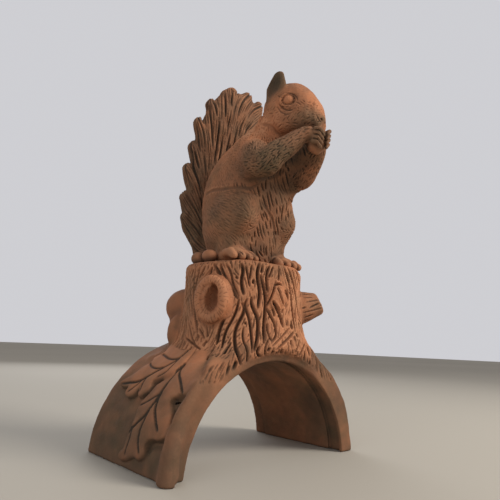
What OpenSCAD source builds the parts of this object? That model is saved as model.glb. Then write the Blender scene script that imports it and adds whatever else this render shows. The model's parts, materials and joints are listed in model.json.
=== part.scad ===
// Squirrel ridge tile: a half-round roof ridge tile with a tree stump and a feeding squirrel on it.
// Millimetres, +Z up. The tile's tunnel runs along Y and the squirrel faces -Y.
// z = 0 is the plane of the two bearing edges; the origin is at the middle of the plan box.

/* [Ridge tile] */
// clear width of the tunnel between the two feet, at the bearing plane
tile_span = 254; // [200:1:320]
// thickness of the fired clay wall of the tile
tile_wall = 23; // [16:0.5:32]
// length of the tile along the ridge
tile_length = 174; // [150:1:240]
// how far the arch centre lies below the bearing plane
arch_drop = 9; // [0:0.5:20]
// depth of the rebate inside each end, which laps over the next tile
rebate_depth = 4; // [2:0.5:6]
// length of that rebate along the ridge
rebate_length = 24; // [12:1:36]

/* [Stump] */
// height of the stump's top above the bearing plane
stump_height = 236; // [215:1:300]
// width of the stump's top across the ridge
stump_width = 154; // [140:1:200]
// depth of the stump's top along the ridge
stump_depth = 154; // [130:1:180]
// how far the stump's top stands out in front of the near end of the tile
stump_overhang = 8; // [4:0.5:12]
// depth of the bark furrows in the stump
bark_depth = 3.5; // [1:0.25:6]
// how far the bark apron stands in front of the near end face
apron_stand = 9; // [4:0.5:14]
// plain band left between the apron and the mouth of the tunnel
mouth_band = 11; // [8:0.5:15]

/* [Knots and cut branches] */
// height of the large knot ring
knot_height = 62; // [44:1:76]
// how far the large knot stands out of the bark
knot_stand = 10; // [6:0.5:14]
// diameter of the small swirl knot
swirl_width = 22; // [14:1:30]
// diameter of the cut branch at its end
branch_width = 40; // [26:1:50]
// diameter of the healed burr behind the stump
burr_width = 60; // [40:1:70]

/* [Oak leaves] */
// length of the upper leaf on the near flank
upper_leaf_length = 118; // [90:1:140]
// length of the lower leaf on the near flank
lower_leaf_length = 138; // [90:1:140]
// length of the leaf on the far flank
far_leaf_length = 104; // [90:1:140]
// height of the leaf relief over the tile
leaf_relief = 4; // [2:0.5:7]
// extra height of the midrib over the leaf
rib_relief = 2.5; // [1:0.5:5]

/* [Squirrel] */
// height from the stump's top to the tips of the ears
figure_height = 249; // [200:1:280]
// turn of the head to the animal's left, in degrees
head_turn = 14; // [0:1:25]
// diameter of each eyeball
eye_width = 16; // [12:0.5:20]
// diameter of the nut in the paws
held_nut_width = 27; // [20:1:34]
// diameter of the two nuts on the rim of the stump
rim_nut_width = 18; // [14:1:24]

/* [Hidden] */
tile_colour = [0.55, 0.31, 0.22];
bark_colour = [0.50, 0.29, 0.20];
fur_colour = [0.58, 0.34, 0.25];
tail_colour = [0.45, 0.29, 0.23];
detail_colour = [0.66, 0.38, 0.26];

half = 1 / 2;
quarter = half * half;
right_angle = 90;
whole_turn = 4 * right_angle;
film = 0.2;
arch_sides = 144;
blob_sides = 10;
nut_sides = 16;
stand_clear = 40;

inner_radius = (tile_span * tile_span * quarter + arch_drop * arch_drop) ^ half;
outer_radius = inner_radius + tile_wall;
rebate_radius = inner_radius + rebate_depth;
crown_height = outer_radius - arch_drop;
paw_reach_share = 0.574;
paw_reach = paw_reach_share * figure_height;
stump_setback = half * stump_depth - stump_overhang;
near_y = half * (paw_reach - stump_setback - tile_length);
far_y = near_y + tile_length;
stump_y = near_y + stump_setback;

// Smooth stations
// A value of a station list between four neighbours, by a Catmull-Rom blend.
blend_shares = [[0, 1, 0, 0], [-0.5, 0, 0.5, 0], [1, -2.5, 2, -0.5], [-0.5, 1.5, -1.5, 0.5]];
function blended(a, b, c, d, t) =
    [for (k = [0:len(b) - 1])
        [1, t, t * t, t * t * t] * (blend_shares * [a[k], b[k], c[k], d[k]])];
function at(list, i) = list[min(max(i, 0), len(list) - 1)];
function smoothed(list, steps) = [
    for (i = [0:len(list) - 2])
        for (j = [0:steps - 1])
            blended(at(list, i - 1), list[i], list[i + 1], at(list, i + 2), j / steps),
    list[len(list) - 1]];

// Rings of a figure
// A station is [x, forward, up, half thickness in the spine's plane, half width], in shares.
function spot(s) = [s[0], -s[1], s[2]];
function heading(list, i) = spot(at(list, i + 1)) - spot(at(list, i - 1));
function side_on(v) = abs(v[0]) < film * film * film;
function ring_turn(v) = side_on(v) ? (v[1] < 0 ? -right_angle : right_angle) : atan2(v[1], v[0]);
module ring(s, v, sides) {
    translate(spot(s) * figure_height)
        rotate([0, acos(v[2] / norm(v)), ring_turn(v)])
            scale([s[3] * figure_height, s[4] * figure_height, film])
                cylinder(r = 1, h = 1, center = true, $fn = sides);
}
// lean keeps or drops each part of a ring's heading, so that rings stay square to the middle plane.
module spine_chain(list, sides, lean) {
    for (i = [0:len(list) - 2])
        hull()
            for (k = [i, i + 1])
                ring(list[k], [for (n = [0:2]) lean[n] * heading(list, k)[n]], sides);
}

// Blobs of a figure
// A blob is [x, forward, up, half width, half length, half height], in shares.
module blob(s, sides) {
    translate(spot(s) * figure_height)
        scale([s[3], s[4], s[5]] * figure_height)
            sphere(r = 1, $fn = sides);
}
module blob_chain(list, sides) {
    for (i = [0:len(list) - 2])
        hull() {
            blob(list[i], sides);
            blob(list[i + 1], sides);
        }
}
function mirrored(list) = [for (s = list) [-s[0], for (k = [1:len(s) - 1]) s[k]]];
module on_stump() {
    translate([0, stump_y, stump_height]) children();
}

// Piece stations
// stations of the body, from the seat to the neck
torso_shares = [
    [0, -0.032, 0.002, 0.169, 0.153], [0, -0.036, 0.048, 0.201, 0.177],
    [0, -0.036, 0.193, 0.245, 0.213], [0, -0.036, 0.337, 0.247, 0.217],
    [0, -0.012, 0.438, 0.245, 0.213], [0, 0, 0.558, 0.201, 0.181], [0, 0.056, 0.639, 0.153, 0.149],
    [0, 0.153, 0.707, 0.124, 0.133], [0, 0.241, 0.763, 0.104, 0.112],
    [0, 0.305, 0.791, 0.056, 0.064]];
// stations of the head along its own forward axis, from the nape to the lips
head_shares = [
    [0, -0.08, 0.835, 0.032, 0.032], [0, -0.064, 0.831, 0.076, 0.068],
    [0, -0.024, 0.819, 0.12, 0.1], [0, 0.036, 0.817, 0.155, 0.12], [0, 0.096, 0.815, 0.155, 0.12],
    [0, 0.149, 0.799, 0.149, 0.114], [0, 0.189, 0.779, 0.129, 0.1], [0, 0.217, 0.761, 0.108, 0.082],
    [0, 0.241, 0.743, 0.084, 0.062], [0, 0.257, 0.735, 0.048, 0.038]];
// blobs of one cheek
cheek_shares = [
    [0.068, 0.072, 0.747, 0.056, 0.072, 0.072], [0.052, 0.169, 0.727, 0.048, 0.064, 0.056]];
// blobs of one brow
brow_shares = [
    [0.072, 0.072, 0.871, 0.036, 0.052, 0.032], [0.076, 0.133, 0.863, 0.028, 0.04, 0.028]];
// blob of the nose
nose_b_shares = [
    [0, 0.249, 0.731, 0.028, 0.022, 0.026]];
// blobs of one half of the muzzle
muzzle_shares = [
    [0.028, 0.221, 0.707, 0.032, 0.036, 0.032], [0.02, 0.185, 0.687, 0.032, 0.036, 0.028]];
// stations of the right arm, from the shoulder to the wrist
arm_shares = [
    [-0.12, 0.177, 0.582, 0.088, 0.08], [-0.157, 0.233, 0.538, 0.092, 0.08],
    [-0.185, 0.289, 0.486, 0.084, 0.072], [-0.181, 0.345, 0.466, 0.072, 0.064],
    [-0.161, 0.386, 0.506, 0.064, 0.056], [-0.12, 0.426, 0.546, 0.056, 0.048],
    [-0.08, 0.466, 0.594, 0.042, 0.04], [-0.052, 0.49, 0.614, 0.036, 0.036]];
// stations of the left arm, which is held higher
arm_far_shares = [
    [0.112, 0.169, 0.586, 0.084, 0.08], [0.137, 0.201, 0.554, 0.084, 0.076],
    [0.149, 0.229, 0.514, 0.076, 0.068], [0.145, 0.285, 0.494, 0.068, 0.06],
    [0.129, 0.349, 0.53, 0.06, 0.052], [0.104, 0.41, 0.574, 0.052, 0.048],
    [0.08, 0.458, 0.61, 0.04, 0.04], [0.06, 0.49, 0.635, 0.036, 0.036]];
// blobs of the right shoulder and elbow
upper_arm_shares = [
    [-0.129, 0.153, 0.57, 0.088, 0.12, 0.112], [-0.161, 0.241, 0.498, 0.072, 0.088, 0.08]];
// blobs of the left shoulder and elbow
upper_arm_far_shares = [
    [0.12, 0.145, 0.574, 0.076, 0.096, 0.096], [0.137, 0.217, 0.506, 0.064, 0.072, 0.076]];
// blobs of the right palm
palm_shares = [
    [-0.054, 0.49, 0.61, 0.03, 0.036, 0.034], [-0.036, 0.512, 0.602, 0.026, 0.032, 0.032]];
// blobs of the chest between the arms
chest_shares = [
    [0.024, 0.153, 0.546, 0.129, 0.12, 0.129], [0.032, 0.217, 0.602, 0.112, 0.096, 0.112]];
// blobs of the belly between the knees
belly_shares = [
    [0.032, 0.048, 0.281, 0.185, 0.169, 0.177], [0.048, 0.088, 0.353, 0.161, 0.169, 0.153]];
// blobs of the right haunch
thigh_shares = [
    [-0.108, -0.036, 0.225, 0.116, 0.181, 0.209], [-0.141, 0.056, 0.253, 0.1, 0.145, 0.161],
    [-0.157, 0.145, 0.245, 0.072, 0.092, 0.112]];
// blobs of the right shin
shin_shares = [
    [-0.145, 0.088, 0.145, 0.072, 0.112, 0.12], [-0.161, 0.064, 0.072, 0.06, 0.096, 0.072]];
// blobs of the right foot, without toes
foot_shares = [
    [-0.157, 0.04, 0.034, 0.048, 0.06, 0.033], [-0.161, 0.116, 0.038, 0.06, 0.056, 0.036]];
// stations of the tail, from its root to its top
tail_shares = [
    [0, -0.185, 0.088, 0.036, 0.072], [0, -0.257, 0.08, 0.048, 0.104],
    [0, -0.305, 0.137, 0.056, 0.141], [0, -0.337, 0.257, 0.064, 0.185],
    [0, -0.345, 0.373, 0.068, 0.205], [0, -0.325, 0.486, 0.068, 0.209],
    [0, -0.293, 0.618, 0.072, 0.213], [0, -0.257, 0.763, 0.072, 0.221],
    [0, -0.217, 0.88, 0.068, 0.209], [0.012, -0.185, 0.976, 0.064, 0.197],
    [0.028, -0.157, 1.06, 0.052, 0.173], [0.04, -0.141, 1.124, 0.032, 0.12]];

// Ridge tile
module along_ridge(r, from_y, to_y, sides) {
    translate([0, to_y, -arch_drop])
        rotate([right_angle, 0, 0])
            cylinder(r = r, h = to_y - from_y, $fn = sides);
}
module under_bearing() {
    translate([-tile_span, near_y - stand_clear, -tile_span])
        cube([2 * tile_span, tile_length + 2 * stand_clear, tile_span]);
}
module ridge_tile() {
    color(tile_colour)
        difference() {
            along_ridge(outer_radius, near_y, far_y, arch_sides);
            along_ridge(inner_radius, near_y - stand_clear, far_y + stand_clear, arch_sides);
            along_ridge(rebate_radius, near_y - stand_clear, near_y + rebate_length, arch_sides);
            along_ridge(rebate_radius, far_y - rebate_length, far_y + stand_clear, arch_sides);
            under_bearing();
        }
}
// The same tile as a solid bar whose facets just touch the true cylinder, for cutting neighbours.
module tile_cutter() {
    along_ridge(outer_radius / cos(whole_turn / arch_sides * half), near_y, far_y, arch_sides);
}

// Stump
// The trunk is a grid of points: each column runs down the bark and ends inside the tile's wall.
bark_columns = 48;
bark_ridges = 16;
bark_wave = 50;
bark_bends = 5;
bark_folds = 4;
flare_width_share = 0.22;
flare_lean_share = 0.62;
flare_run_share = 0.09;
bark_sink_share = 0.27;
// rows of [height over the tile's back, how far the foot has spread], in shares
bark_rows = [[1, 0], [0.97, 0.02], [0.85, -0.02], [0.73, -0.03], [0.61, 0], [0.5, 0.03], [0.4, 0.1],
    [0.31, 0.2], [0.23, 0.33], [0.16, 0.49], [0.09, 0.7], [0.03, 1], [-bark_sink_share, 1]];
function back_height(x) =
    (outer_radius ^ 2 - min(abs(x), (1 - film * film) * outer_radius) ^ 2) ^ half - arch_drop;
function flare(t) = flare_width_share * (flare_lean_share + (1 - flare_lean_share) * cos(t)) * stump_width;
function foot_x(t) = half * stump_width + flare(t);
// Distance over the tile's back from its crown to a point this far from the middle plane.
function back_run(x) =
    asin(min(x / outer_radius, 1 - film * film)) / whole_turn * 2 * PI * outer_radius;
function furrow(t, h) =
    half * bark_depth * (sin(bark_ridges * t + bark_wave * sin(bark_bends * h * whole_turn))
        + quarter * sin((bark_ridges + 2) * half * t + bark_wave * sin(2 * bark_bends * h * whole_turn)) - 1);
function bark_point(i, t) =
    let (row = bark_rows[i],
        f = i == 0 ? -half * bark_depth : furrow(t, row[0]),
        x = (half * stump_width + row[1] * flare(t) + f) * cos(t),
        run = flare_run_share * row[1] * stump_depth * (sin(t) > 0 ? 1 : quarter),
        y = (half * stump_depth + run + f) * sin(t),
        foot = back_height(x))
    [x, y, foot + row[0] * (stump_height - foot)];
function bark_grid(rows) =
    [for (i = [0:rows - 1]) for (j = [0:bark_columns - 1]) bark_point(i, j * whole_turn / bark_columns)];
module bark_core() {
    rows = len(bark_rows);
    function corner(i, j) = i * bark_columns + j % bark_columns;
    sides = [for (i = [0:rows - 2]) for (j = [0:bark_columns - 1]) for (k = [0, 1])
        k == 0 ? [corner(i, j), corner(i, j + 1), corner(i + 1, j)]
            : [corner(i, j + 1), corner(i + 1, j + 1), corner(i + 1, j)]];
    cap = [for (j = [0:bark_columns - 1]) bark_columns - 1 - j];
    under = rows * bark_columns;
    foot = [for (j = [0:bark_columns - 1]) [corner(rows - 1, j), corner(rows - 1, j + 1), under]];
    translate([0, stump_y, 0])
        polyhedron(points = concat(bark_grid(rows), [[0, 0, 0]]), faces = concat(sides, [cap], foot),
            convexity = bark_folds);
}
// A place on the tile's back: angle from the crown towards +X, share of the length, height over it.
module on_back(angle, y, over) {
    translate([0, 0, -arch_drop])
        rotate([0, angle, 0])
            translate([0, y, outer_radius + over])
                children();
}
root_width_share = 0.055;
root_sink_share = 0.45;
// roots leave the stump at these turns and bend by these angles as they run down the back
root_turns = [243, 297, 112, 68];
root_bends = [-42, 42, 14, -14];
root_reach_shares = [0.4, 0.4, 0.26, 0.26];
root_taper_shares = [1, 0.85, 0.6];
root_steps = len(root_taper_shares) - 1;
function root_y(y, r) = min(max(y, near_y + r), far_y - r);
module root_blob(i, j) {
    t = root_turns[i];
    r = root_width_share * stump_width * root_taper_shares[j];
    run = root_reach_shares[i] * stump_width * j / root_steps;
    angle = back_angle(back_run(half * stump_width * cos(t)) + run * cos(t + root_bends[i]));
    on_back(angle, root_y(stump_y + half * stump_depth * sin(t) + run * sin(t + root_bends[i]), r),
        -root_sink_share * r)
        sphere(r = r, $fn = toe_sides + 2);
}
module roots() {
    for (i = [0:len(root_turns) - 1])
        for (j = [0:root_steps - 1])
            hull() {
                root_blob(i, j);
                root_blob(i, j + 1);
            }
}
function rim_spot(t) = [half * stump_width * cos(t), half * stump_depth * sin(t)];
function rim_facing(t) = atan2(sin(t) / stump_depth, cos(t) / stump_width);
// A place on the stump's side, with +X pointing straight out of the bark.
module on_bark(t, z) {
    translate([rim_spot(t)[0], max(stump_y + rim_spot(t)[1], near_y - apron_stand), z])
        rotate([0, 0, rim_facing(t)])
            children();
}
knot_turn = 202;
knot_level_share = 0.79;
knot_z = knot_level_share * stump_height;
knot_aspect_share = 0.8;
knot_ring_share = 0.27;
knot_hole_depth_share = 0.25;
knot_blobs = 12;
module knot_bead(i) {
    reach = half * knot_height * (1 - knot_ring_share);
    translate([0, knot_aspect_share * reach * cos(i * whole_turn / knot_blobs),
        reach * sin(i * whole_turn / knot_blobs)])
        scale([knot_stand, knot_ring_share * half * knot_height, knot_ring_share * half * knot_height])
            sphere(r = 1, $fn = blob_sides * half + 2);
}
module knot_ring() {
    on_bark(knot_turn, knot_z)
        for (i = [0:knot_blobs - 1])
            hull() {
                knot_bead(i);
                knot_bead(i + 1);
            }
}
module knot_hole() {
    on_bark(knot_turn, knot_z)
        scale([knot_hole_depth_share, quarter * knot_aspect_share, quarter] * knot_height)
            sphere(r = 1, $fn = blob_sides);
}
module stump_form() {
    difference() {
        union() {
            bark_core();
            difference() {
                roots();
                upper_leaf_form();
                lower_leaf_form();
                far_leaf_form();
            }
        }
        knot_hole();
        along_ridge(inner_radius + mouth_band, near_y - stand_clear, near_y + film, arch_sides);
        translate([-tile_span, near_y - apron_stand - stand_clear, 0])
            cube([2 * tile_span, stand_clear, stump_height * 2]);
    }
}
module stump() {
    color(bark_colour)
        difference() {
            stump_form();
            tile_cutter();
        }
}
module knot_large() {
    color(detail_colour)
        difference() {
            knot_ring();
            stump_form();
        }
}
swirl_turn = 262;
swirl_level_share = 0.83;
swirl_stand_share = 0.25;
swirl_tall_share = 0.75;
module swirl_form() {
    on_bark(swirl_turn, swirl_level_share * stump_height)
        scale([swirl_stand_share, half, swirl_tall_share] * swirl_width)
            hull()
                sphere(r = 1, $fn = blob_sides);
}
module knot_swirl() {
    color(detail_colour)
        difference() {
            swirl_form();
            stump_form();
        }
}
branch_turn = 322;
branch_level_share = 0.79;
branch_lift = 14;
branch_reach_share = 0.78;
branch_root_share = 1.12;
branch_end_share = 0.68;
branch_sides = 14;
module branch_form() {
    on_bark(branch_turn, branch_level_share * stump_height)
        rotate([0, right_angle - branch_lift, 0])
            translate([0, 0, -quarter * branch_width])
                hull()
                    cylinder(d1 = branch_root_share * branch_width, d2 = branch_end_share * branch_width,
                        h = (branch_reach_share + quarter) * branch_width, $fn = branch_sides);
}
module cut_branch() {
    color(bark_colour)
        difference() {
            branch_form();
            stump_form();
        }
}
burr_turn = 117;
burr_level_share = 0.775;
burr_low_share = 0.665;
burr_stand_share = 0.16;
burr_low_width_share = 0.33;
module burr_form() {
    on_bark(burr_turn, burr_level_share * stump_height)
        hull() {
            sphere(d = burr_width * (1 - quarter * half), $fn = nut_sides);
            translate([burr_stand_share * burr_width, 0, 0])
                sphere(d = burr_width * (1 - quarter * half), $fn = nut_sides);
        }
    on_bark(burr_turn, burr_low_share * stump_height)
        hull() {
            sphere(r = burr_low_width_share * burr_width, $fn = blob_sides);
            translate([burr_stand_share * burr_width, 0, 0])
                sphere(r = burr_low_width_share * burr_width, $fn = blob_sides);
        }
}
module healed_burr() {
    color(tile_colour)
        difference() {
            burr_form();
            stump_form();
            tile_cutter();
        }
}

// Oak leaves
// A leaf starts under the stump's foot, at a share of the tile's length, and heads by a slant over the
// tile's back. Side turns it to the near (-X) or the far (+X) flank.
leaf_sink_share = 2;
leaf_edge_share = 0.45;
leaf_sweep_share = 0.3;
leaf_tip_lift = 0.5;
// half of the leaf's outline, as [distance from the stalk, half width] in shares of its length
leaf_outline_shares = [[0, 0.02], [0.1, 0.05], [0.19, 0.17], [0.28, 0.3], [0.36, 0.31], [0.43, 0.2],
    [0.49, 0.2], [0.56, 0.33], [0.64, 0.36], [0.7, 0.23], [0.76, 0.19], [0.83, 0.26], [0.9, 0.22], [1, 0.03]];
// columns across the leaf, as [side, height], from edge to edge over the midrib
midrib_share = 1.6;
leaf_columns = [[-1, 0], [-0.5, 1], [-0.1, 0.75], [0, midrib_share], [0.1, 0.75], [0.5, 1], [1, 0]];
function back_angle(s) = s / outer_radius * whole_turn / (2 * PI);
function leaf_vertex(place, size, side, row, column, sunk) =
    let (w = column[0] * row[1],
        t = row[0] + leaf_sweep_share * abs(w),
        s = place[0] + size * (t * cos(place[2]) - w * sin(place[2])),
        y = place[1] + size * (t * sin(place[2]) + w * cos(place[2])),
        lift = leaf_relief * (leaf_edge_share + (1 - leaf_edge_share) * min(column[1], 1))
            + rib_relief * max(column[1] - 1, 0) * (1 - leaf_tip_lift * row[0]) / (midrib_share - 1),
        r = outer_radius + (sunk ? -leaf_sink_share * leaf_relief : lift),
        turn = side * back_angle(s))
    [r * sin(turn), y, r * cos(turn) - arch_drop];
module leaf_form(place, size, side) {
    rows = smoothed(leaf_outline_shares, 2);
    across = len(leaf_columns);
    ring = 2 * across;
    points = [for (row = rows) for (k = [0:ring - 1])
        k < across ? leaf_vertex(place, size, side, row, leaf_columns[k], false)
            : leaf_vertex(place, size, side, row, leaf_columns[ring - 1 - k], true)];
    function corner(i, k) = i * ring + k % ring;
    walls = [for (i = [0:len(rows) - 2]) for (k = [0:ring - 1]) for (half_face = [0, 1])
        half_face == 0 ? [corner(i, k), corner(i, k + 1), corner(i + 1, k)]
            : [corner(i, k + 1), corner(i + 1, k + 1), corner(i + 1, k)]];
    last = len(rows) - 1;
    ends = [[for (k = [0:ring - 1]) corner(0, ring - 1 - k)], [for (k = [0:ring - 1]) corner(last, k)]];
    faces = concat(walls, ends);
    turned = [for (f = faces) [for (q = [1:len(f)]) f[len(f) - q]]];
    polyhedron(points = points, faces = side > 0 ? faces : turned, convexity = 4);
}
leaf_tuck_share = 0.16;
upper_leaf_run_share = 0.31;
upper_leaf_slant = 50;
lower_leaf_run_share = 0.31;
lower_leaf_slant = 5;
far_leaf_run_share = 0.27;
far_leaf_slant = -2;
function leaf_place(run_share, slant, side) =
    [back_run(foot_x(side > 0 ? 0 : 2 * right_angle)) - leaf_tuck_share * stump_width,
        near_y + run_share * tile_length, slant];
module upper_leaf_form() {
    leaf_form(leaf_place(upper_leaf_run_share, upper_leaf_slant, -1), upper_leaf_length, -1);
}
module lower_leaf_form() {
    leaf_form(leaf_place(lower_leaf_run_share, lower_leaf_slant, -1), lower_leaf_length, -1);
}
module far_leaf_form() {
    leaf_form(leaf_place(far_leaf_run_share, far_leaf_slant, 1), far_leaf_length, 1);
}
// What a leaf gives way to: the tile, the stump, and the tile's ends and bearing plane.
module around_leaf() {
    tile_cutter();
    stump_form();
    under_bearing();
    for (y = [near_y - tile_span, far_y])
        translate([-tile_span, y, 0])
            cube([2 * tile_span, tile_span, tile_span]);
}
module leaf_upper() {
    color(tile_colour)
        difference() {
            upper_leaf_form();
            around_leaf();
        }
}
module leaf_lower() {
    color(tile_colour)
        difference() {
            lower_leaf_form();
            upper_leaf_form();
            around_leaf();
        }
}
module leaf_far() {
    color(tile_colour)
        difference() {
            far_leaf_form();
            around_leaf();
        }
}

// Squirrel
torso_sides = 14;
head_sides = 14;
limb_sides = 10;
tail_sides = 24;
toe_sides = 6;
head_pivot_share = 0.249;
module below_top() {
    translate([-half * tile_span, -tile_span, -half * figure_height])
        cube([tile_span, 2 * tile_span, half * figure_height]);
}
module torso_form() {
    spine_chain(smoothed(torso_shares, 2), torso_sides, [0, 1, 1]);
    blob_chain(chest_shares, blob_sides);
    blob_chain(belly_shares, blob_sides);
}
module torso() {
    color(fur_colour)
        on_stump()
            difference() {
                torso_form();
                below_top();
            }
}
module on_neck() {
    translate([0, -head_pivot_share * figure_height, 0])
        rotate([0, 0, head_turn])
            children();
}
eye_spot_shares = [-0.1, 0.108, 0.831];
module at_eye(side) {
    on_neck()
        translate([-side * eye_spot_shares[0], -eye_spot_shares[1], eye_spot_shares[2]] * figure_height)
            children();
}
// The socket's facets just touch the true ball of the eye.
module eye_socket(side) {
    at_eye(side)
        hull()
            sphere(d = eye_width / cos(whole_turn / nut_sides * half), $fn = nut_sides);
}
module head_form() {
    on_neck() {
        spine_chain(smoothed(head_shares, 2), head_sides, [0, 1, 0]);
        for (list = [cheek_shares, brow_shares, muzzle_shares]) {
            blob_chain(list, blob_sides - 2);
            blob_chain(mirrored(list), blob_sides - 2);
        }
    }
}
module head() {
    color(fur_colour)
        on_stump()
            difference() {
                head_form();
                torso_form();
                eye_socket(1);
                eye_socket(-1);
            }
}
module eye(side) {
    color(detail_colour)
        on_stump()
            at_eye(side)
                sphere(d = eye_width, $fn = nut_sides);
}
module eye_right() {
    eye(-1);
}
module eye_left() {
    eye(1);
}
module nose() {
    color(detail_colour)
        on_stump()
            difference() {
                on_neck()
                    blob(nose_b_shares[0], blob_sides * half + 2);
                head_form();
            }
}
// Outer and inner beads of an ear: the hollow is taken out with the inner beads.
ear_shares = [[-0.088, 0.02, 0.87, 0.024, 0.054, 0.03], [-0.1, 0.032, 0.92, 0.022, 0.059, 0.04],
    [-0.108, 0.048, 0.975, 0.015, 0.034, 0.03]];
ear_tip_shares = [-0.112, 0.058, 0.994, 0.006, 0.008, 0.008];
ear_hollow_shares = [[-0.118, 0.01, 0.885, 0.018, 0.034, 0.02],
    [-0.124, 0.026, 0.93, 0.018, 0.041, 0.032], [-0.124, 0.044, 0.968, 0.01, 0.02, 0.02]];
module ear_form(list_side) {
    outer = concat(ear_shares, [ear_tip_shares]);
    difference() {
        blob_chain(list_side > 0 ? mirrored(outer) : outer, blob_sides - 2);
        blob_chain(list_side > 0 ? mirrored(ear_hollow_shares) : ear_hollow_shares, blob_sides - 4);
    }
}
module ear(side) {
    color(fur_colour)
        on_stump()
            difference() {
                on_neck()
                    ear_form(side);
                head_form();
            }
}
module ear_right() {
    ear(-1);
}
module ear_left() {
    ear(1);
}
module thigh_form(side) {
    blob_chain(side > 0 ? mirrored(thigh_shares) : thigh_shares, blob_sides + 6);
    blob_chain(side > 0 ? mirrored(shin_shares) : shin_shares, blob_sides);
}
module thigh(side) {
    color(fur_colour)
        on_stump()
            difference() {
                thigh_form(side);
                torso_form();
                below_top();
            }
}
module thigh_right() {
    thigh(-1);
}
module thigh_left() {
    thigh(1);
}
toe_count = 4;
toe_root_share = 0.138;
toe_reach_share = 0.202;
toe_radius_share = 0.026;
toe_spread_share = 0.041;
toe_fan_share = 0.2;
toe_rise_share = 0.032;
module toe(side, i) {
    foot = foot_shares[1];
    w = i - half * (toe_count - 1);
    x = side * (-foot[0]) + w * toe_spread_share;
    hull() {
        translate([x, -toe_root_share, toe_rise_share] * figure_height)
            sphere(r = toe_radius_share * figure_height, $fn = toe_sides);
        translate([x + toe_fan_share * w * toe_spread_share,
            quarter * toe_spread_share * abs(w) - toe_reach_share, half * toe_rise_share] * figure_height)
            sphere(r = toe_radius_share * figure_height, $fn = toe_sides);
        translate([x, -half * (toe_root_share + toe_reach_share),
            toe_rise_share * (1 + quarter)] * figure_height)
            sphere(r = toe_radius_share * figure_height, $fn = toe_sides);
    }
}
module foot_form(side) {
    blob_chain(side > 0 ? mirrored(foot_shares) : foot_shares, blob_sides - 2);
    for (i = [0:toe_count - 1])
        toe(side, i);
}
module foot(side) {
    color(fur_colour)
        on_stump()
            difference() {
                foot_form(side);
                thigh_form(side);
                torso_form();
                below_top();
            }
}
module foot_right() {
    foot(-1);
}
module foot_left() {
    foot(1);
}
module arm_form(side) {
    spine_chain(smoothed(side > 0 ? arm_far_shares : arm_shares, 2), limb_sides, [1, 1, 1]);
    blob_chain(side > 0 ? upper_arm_far_shares : upper_arm_shares, blob_sides);
}
module arm(side) {
    color(fur_colour)
        on_stump()
            difference() {
                arm_form(side);
                torso_form();
                thigh_form(side);
                head_form();
                if (side > 0)
                    arm_form(-1);
            }
}
module arm_right() {
    arm(-1);
}
module arm_left() {
    arm(1);
}
finger_count = 4;
finger_radius_share = 0.0135;
finger_knuckle_shares = [-0.048, 0.533, 0.608];
finger_bend_shares = [-0.036, 0.554, 0.598];
finger_tip_shares = [-0.017, 0.558, 0.576];
finger_step_shares = [-0.002, -0.004, -0.017];
module finger_bead(side, p, i) {
    q = p + (i - 1) * finger_step_shares;
    translate([-side * q[0], -q[1], q[2]] * figure_height)
        sphere(r = finger_radius_share * figure_height, $fn = toe_sides);
}
module finger(side, i) {
    hull() {
        finger_bead(side, finger_knuckle_shares, i);
        finger_bead(side, finger_bend_shares, i);
    }
    hull() {
        finger_bead(side, finger_bend_shares, i);
        finger_bead(side, finger_tip_shares, i);
    }
}
left_hand_shares = [0.014, 0.014, 0.014];
module hand_form(side) {
    translate(side > 0 ? left_hand_shares * figure_height : [0, 0, 0]) {
        blob_chain(side > 0 ? mirrored(palm_shares) : palm_shares, blob_sides - 2);
        for (i = [0:finger_count - 1])
            finger(side, i);
    }
}
module hand(side) {
    color(fur_colour)
        on_stump()
            difference() {
                hand_form(side);
                arm_form(side);
                head_form();
                nut_core();
            }
}
module hand_right() {
    hand(-1);
}
module hand_left() {
    hand(1);
}
held_nut_shares = [0.008, 0.497, 0.582];
held_nut_stretch_share = 1.15;
held_nut_core_share = 0.6;
module at_nut() {
    translate(spot(held_nut_shares) * figure_height)
        scale([1, held_nut_stretch_share, 1 - quarter * half])
            children();
}
// The kernel of the nut stays whole, and the hands close round it.
module nut_core() {
    at_nut()
        hull()
            sphere(d = held_nut_core_share * held_nut_width, $fn = blob_sides);
}
module held_nut() {
    color(detail_colour)
        on_stump() {
            difference() {
                at_nut()
                    hull()
                        sphere(d = held_nut_width, $fn = blob_sides + 2);
                hand_form(-1);
                hand_form(1);
                arm_form(-1);
                arm_form(1);
                head_form();
            }
            nut_core();
        }
}
// The tail is a ribbed plume: each rib is a combed strand that follows the tail from root to top.
tail_strands = 8;
tail_strand_share = 0.011;
tail_strand_wave = 40;
tail_strand_bends = 2;
function tail_rib(t, row) = tail_strand_share * figure_height
    * cos(tail_strands * (t + tail_strand_wave / tail_strands * sin(row * tail_strand_bends * whole_turn)));
function upright(v) = [v[1], v[2]] / norm([v[1], v[2]]);
function tail_up(list, i) = upright(heading(list, i));
function tail_point(list, i, k) =
    let (s = list[i], d = tail_up(list, i), t = k * whole_turn / tail_sides,
        rib = tail_rib(t, i / len(list)),
        x = (s[4] * figure_height + rib) * cos(t),
        deep = (s[3] * figure_height + rib) * sin(t))
    [s[0] * figure_height + x, -s[1] * figure_height - deep * d[1], s[2] * figure_height + deep * d[0]];
module plume() {
    list = tail_shares;
    rings = len(list);
    function corner(i, k) = i * tail_sides + k % tail_sides;
    walls = [for (i = [0:rings - 2]) for (k = [0:tail_sides - 1]) for (half_face = [0, 1])
        half_face == 0 ? [corner(i, k), corner(i, k + 1), corner(i + 1, k)]
            : [corner(i, k + 1), corner(i + 1, k + 1), corner(i + 1, k)]];
    last = rings - 1;
    ends = [[for (k = [0:tail_sides - 1]) corner(0, tail_sides - 1 - k)],
        [for (k = [0:tail_sides - 1]) corner(last, k)]];
    polyhedron(points = [for (i = [0:last]) for (k = [0:tail_sides - 1]) tail_point(list, i, k)],
        faces = concat(walls, ends), convexity = 6);
}
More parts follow.
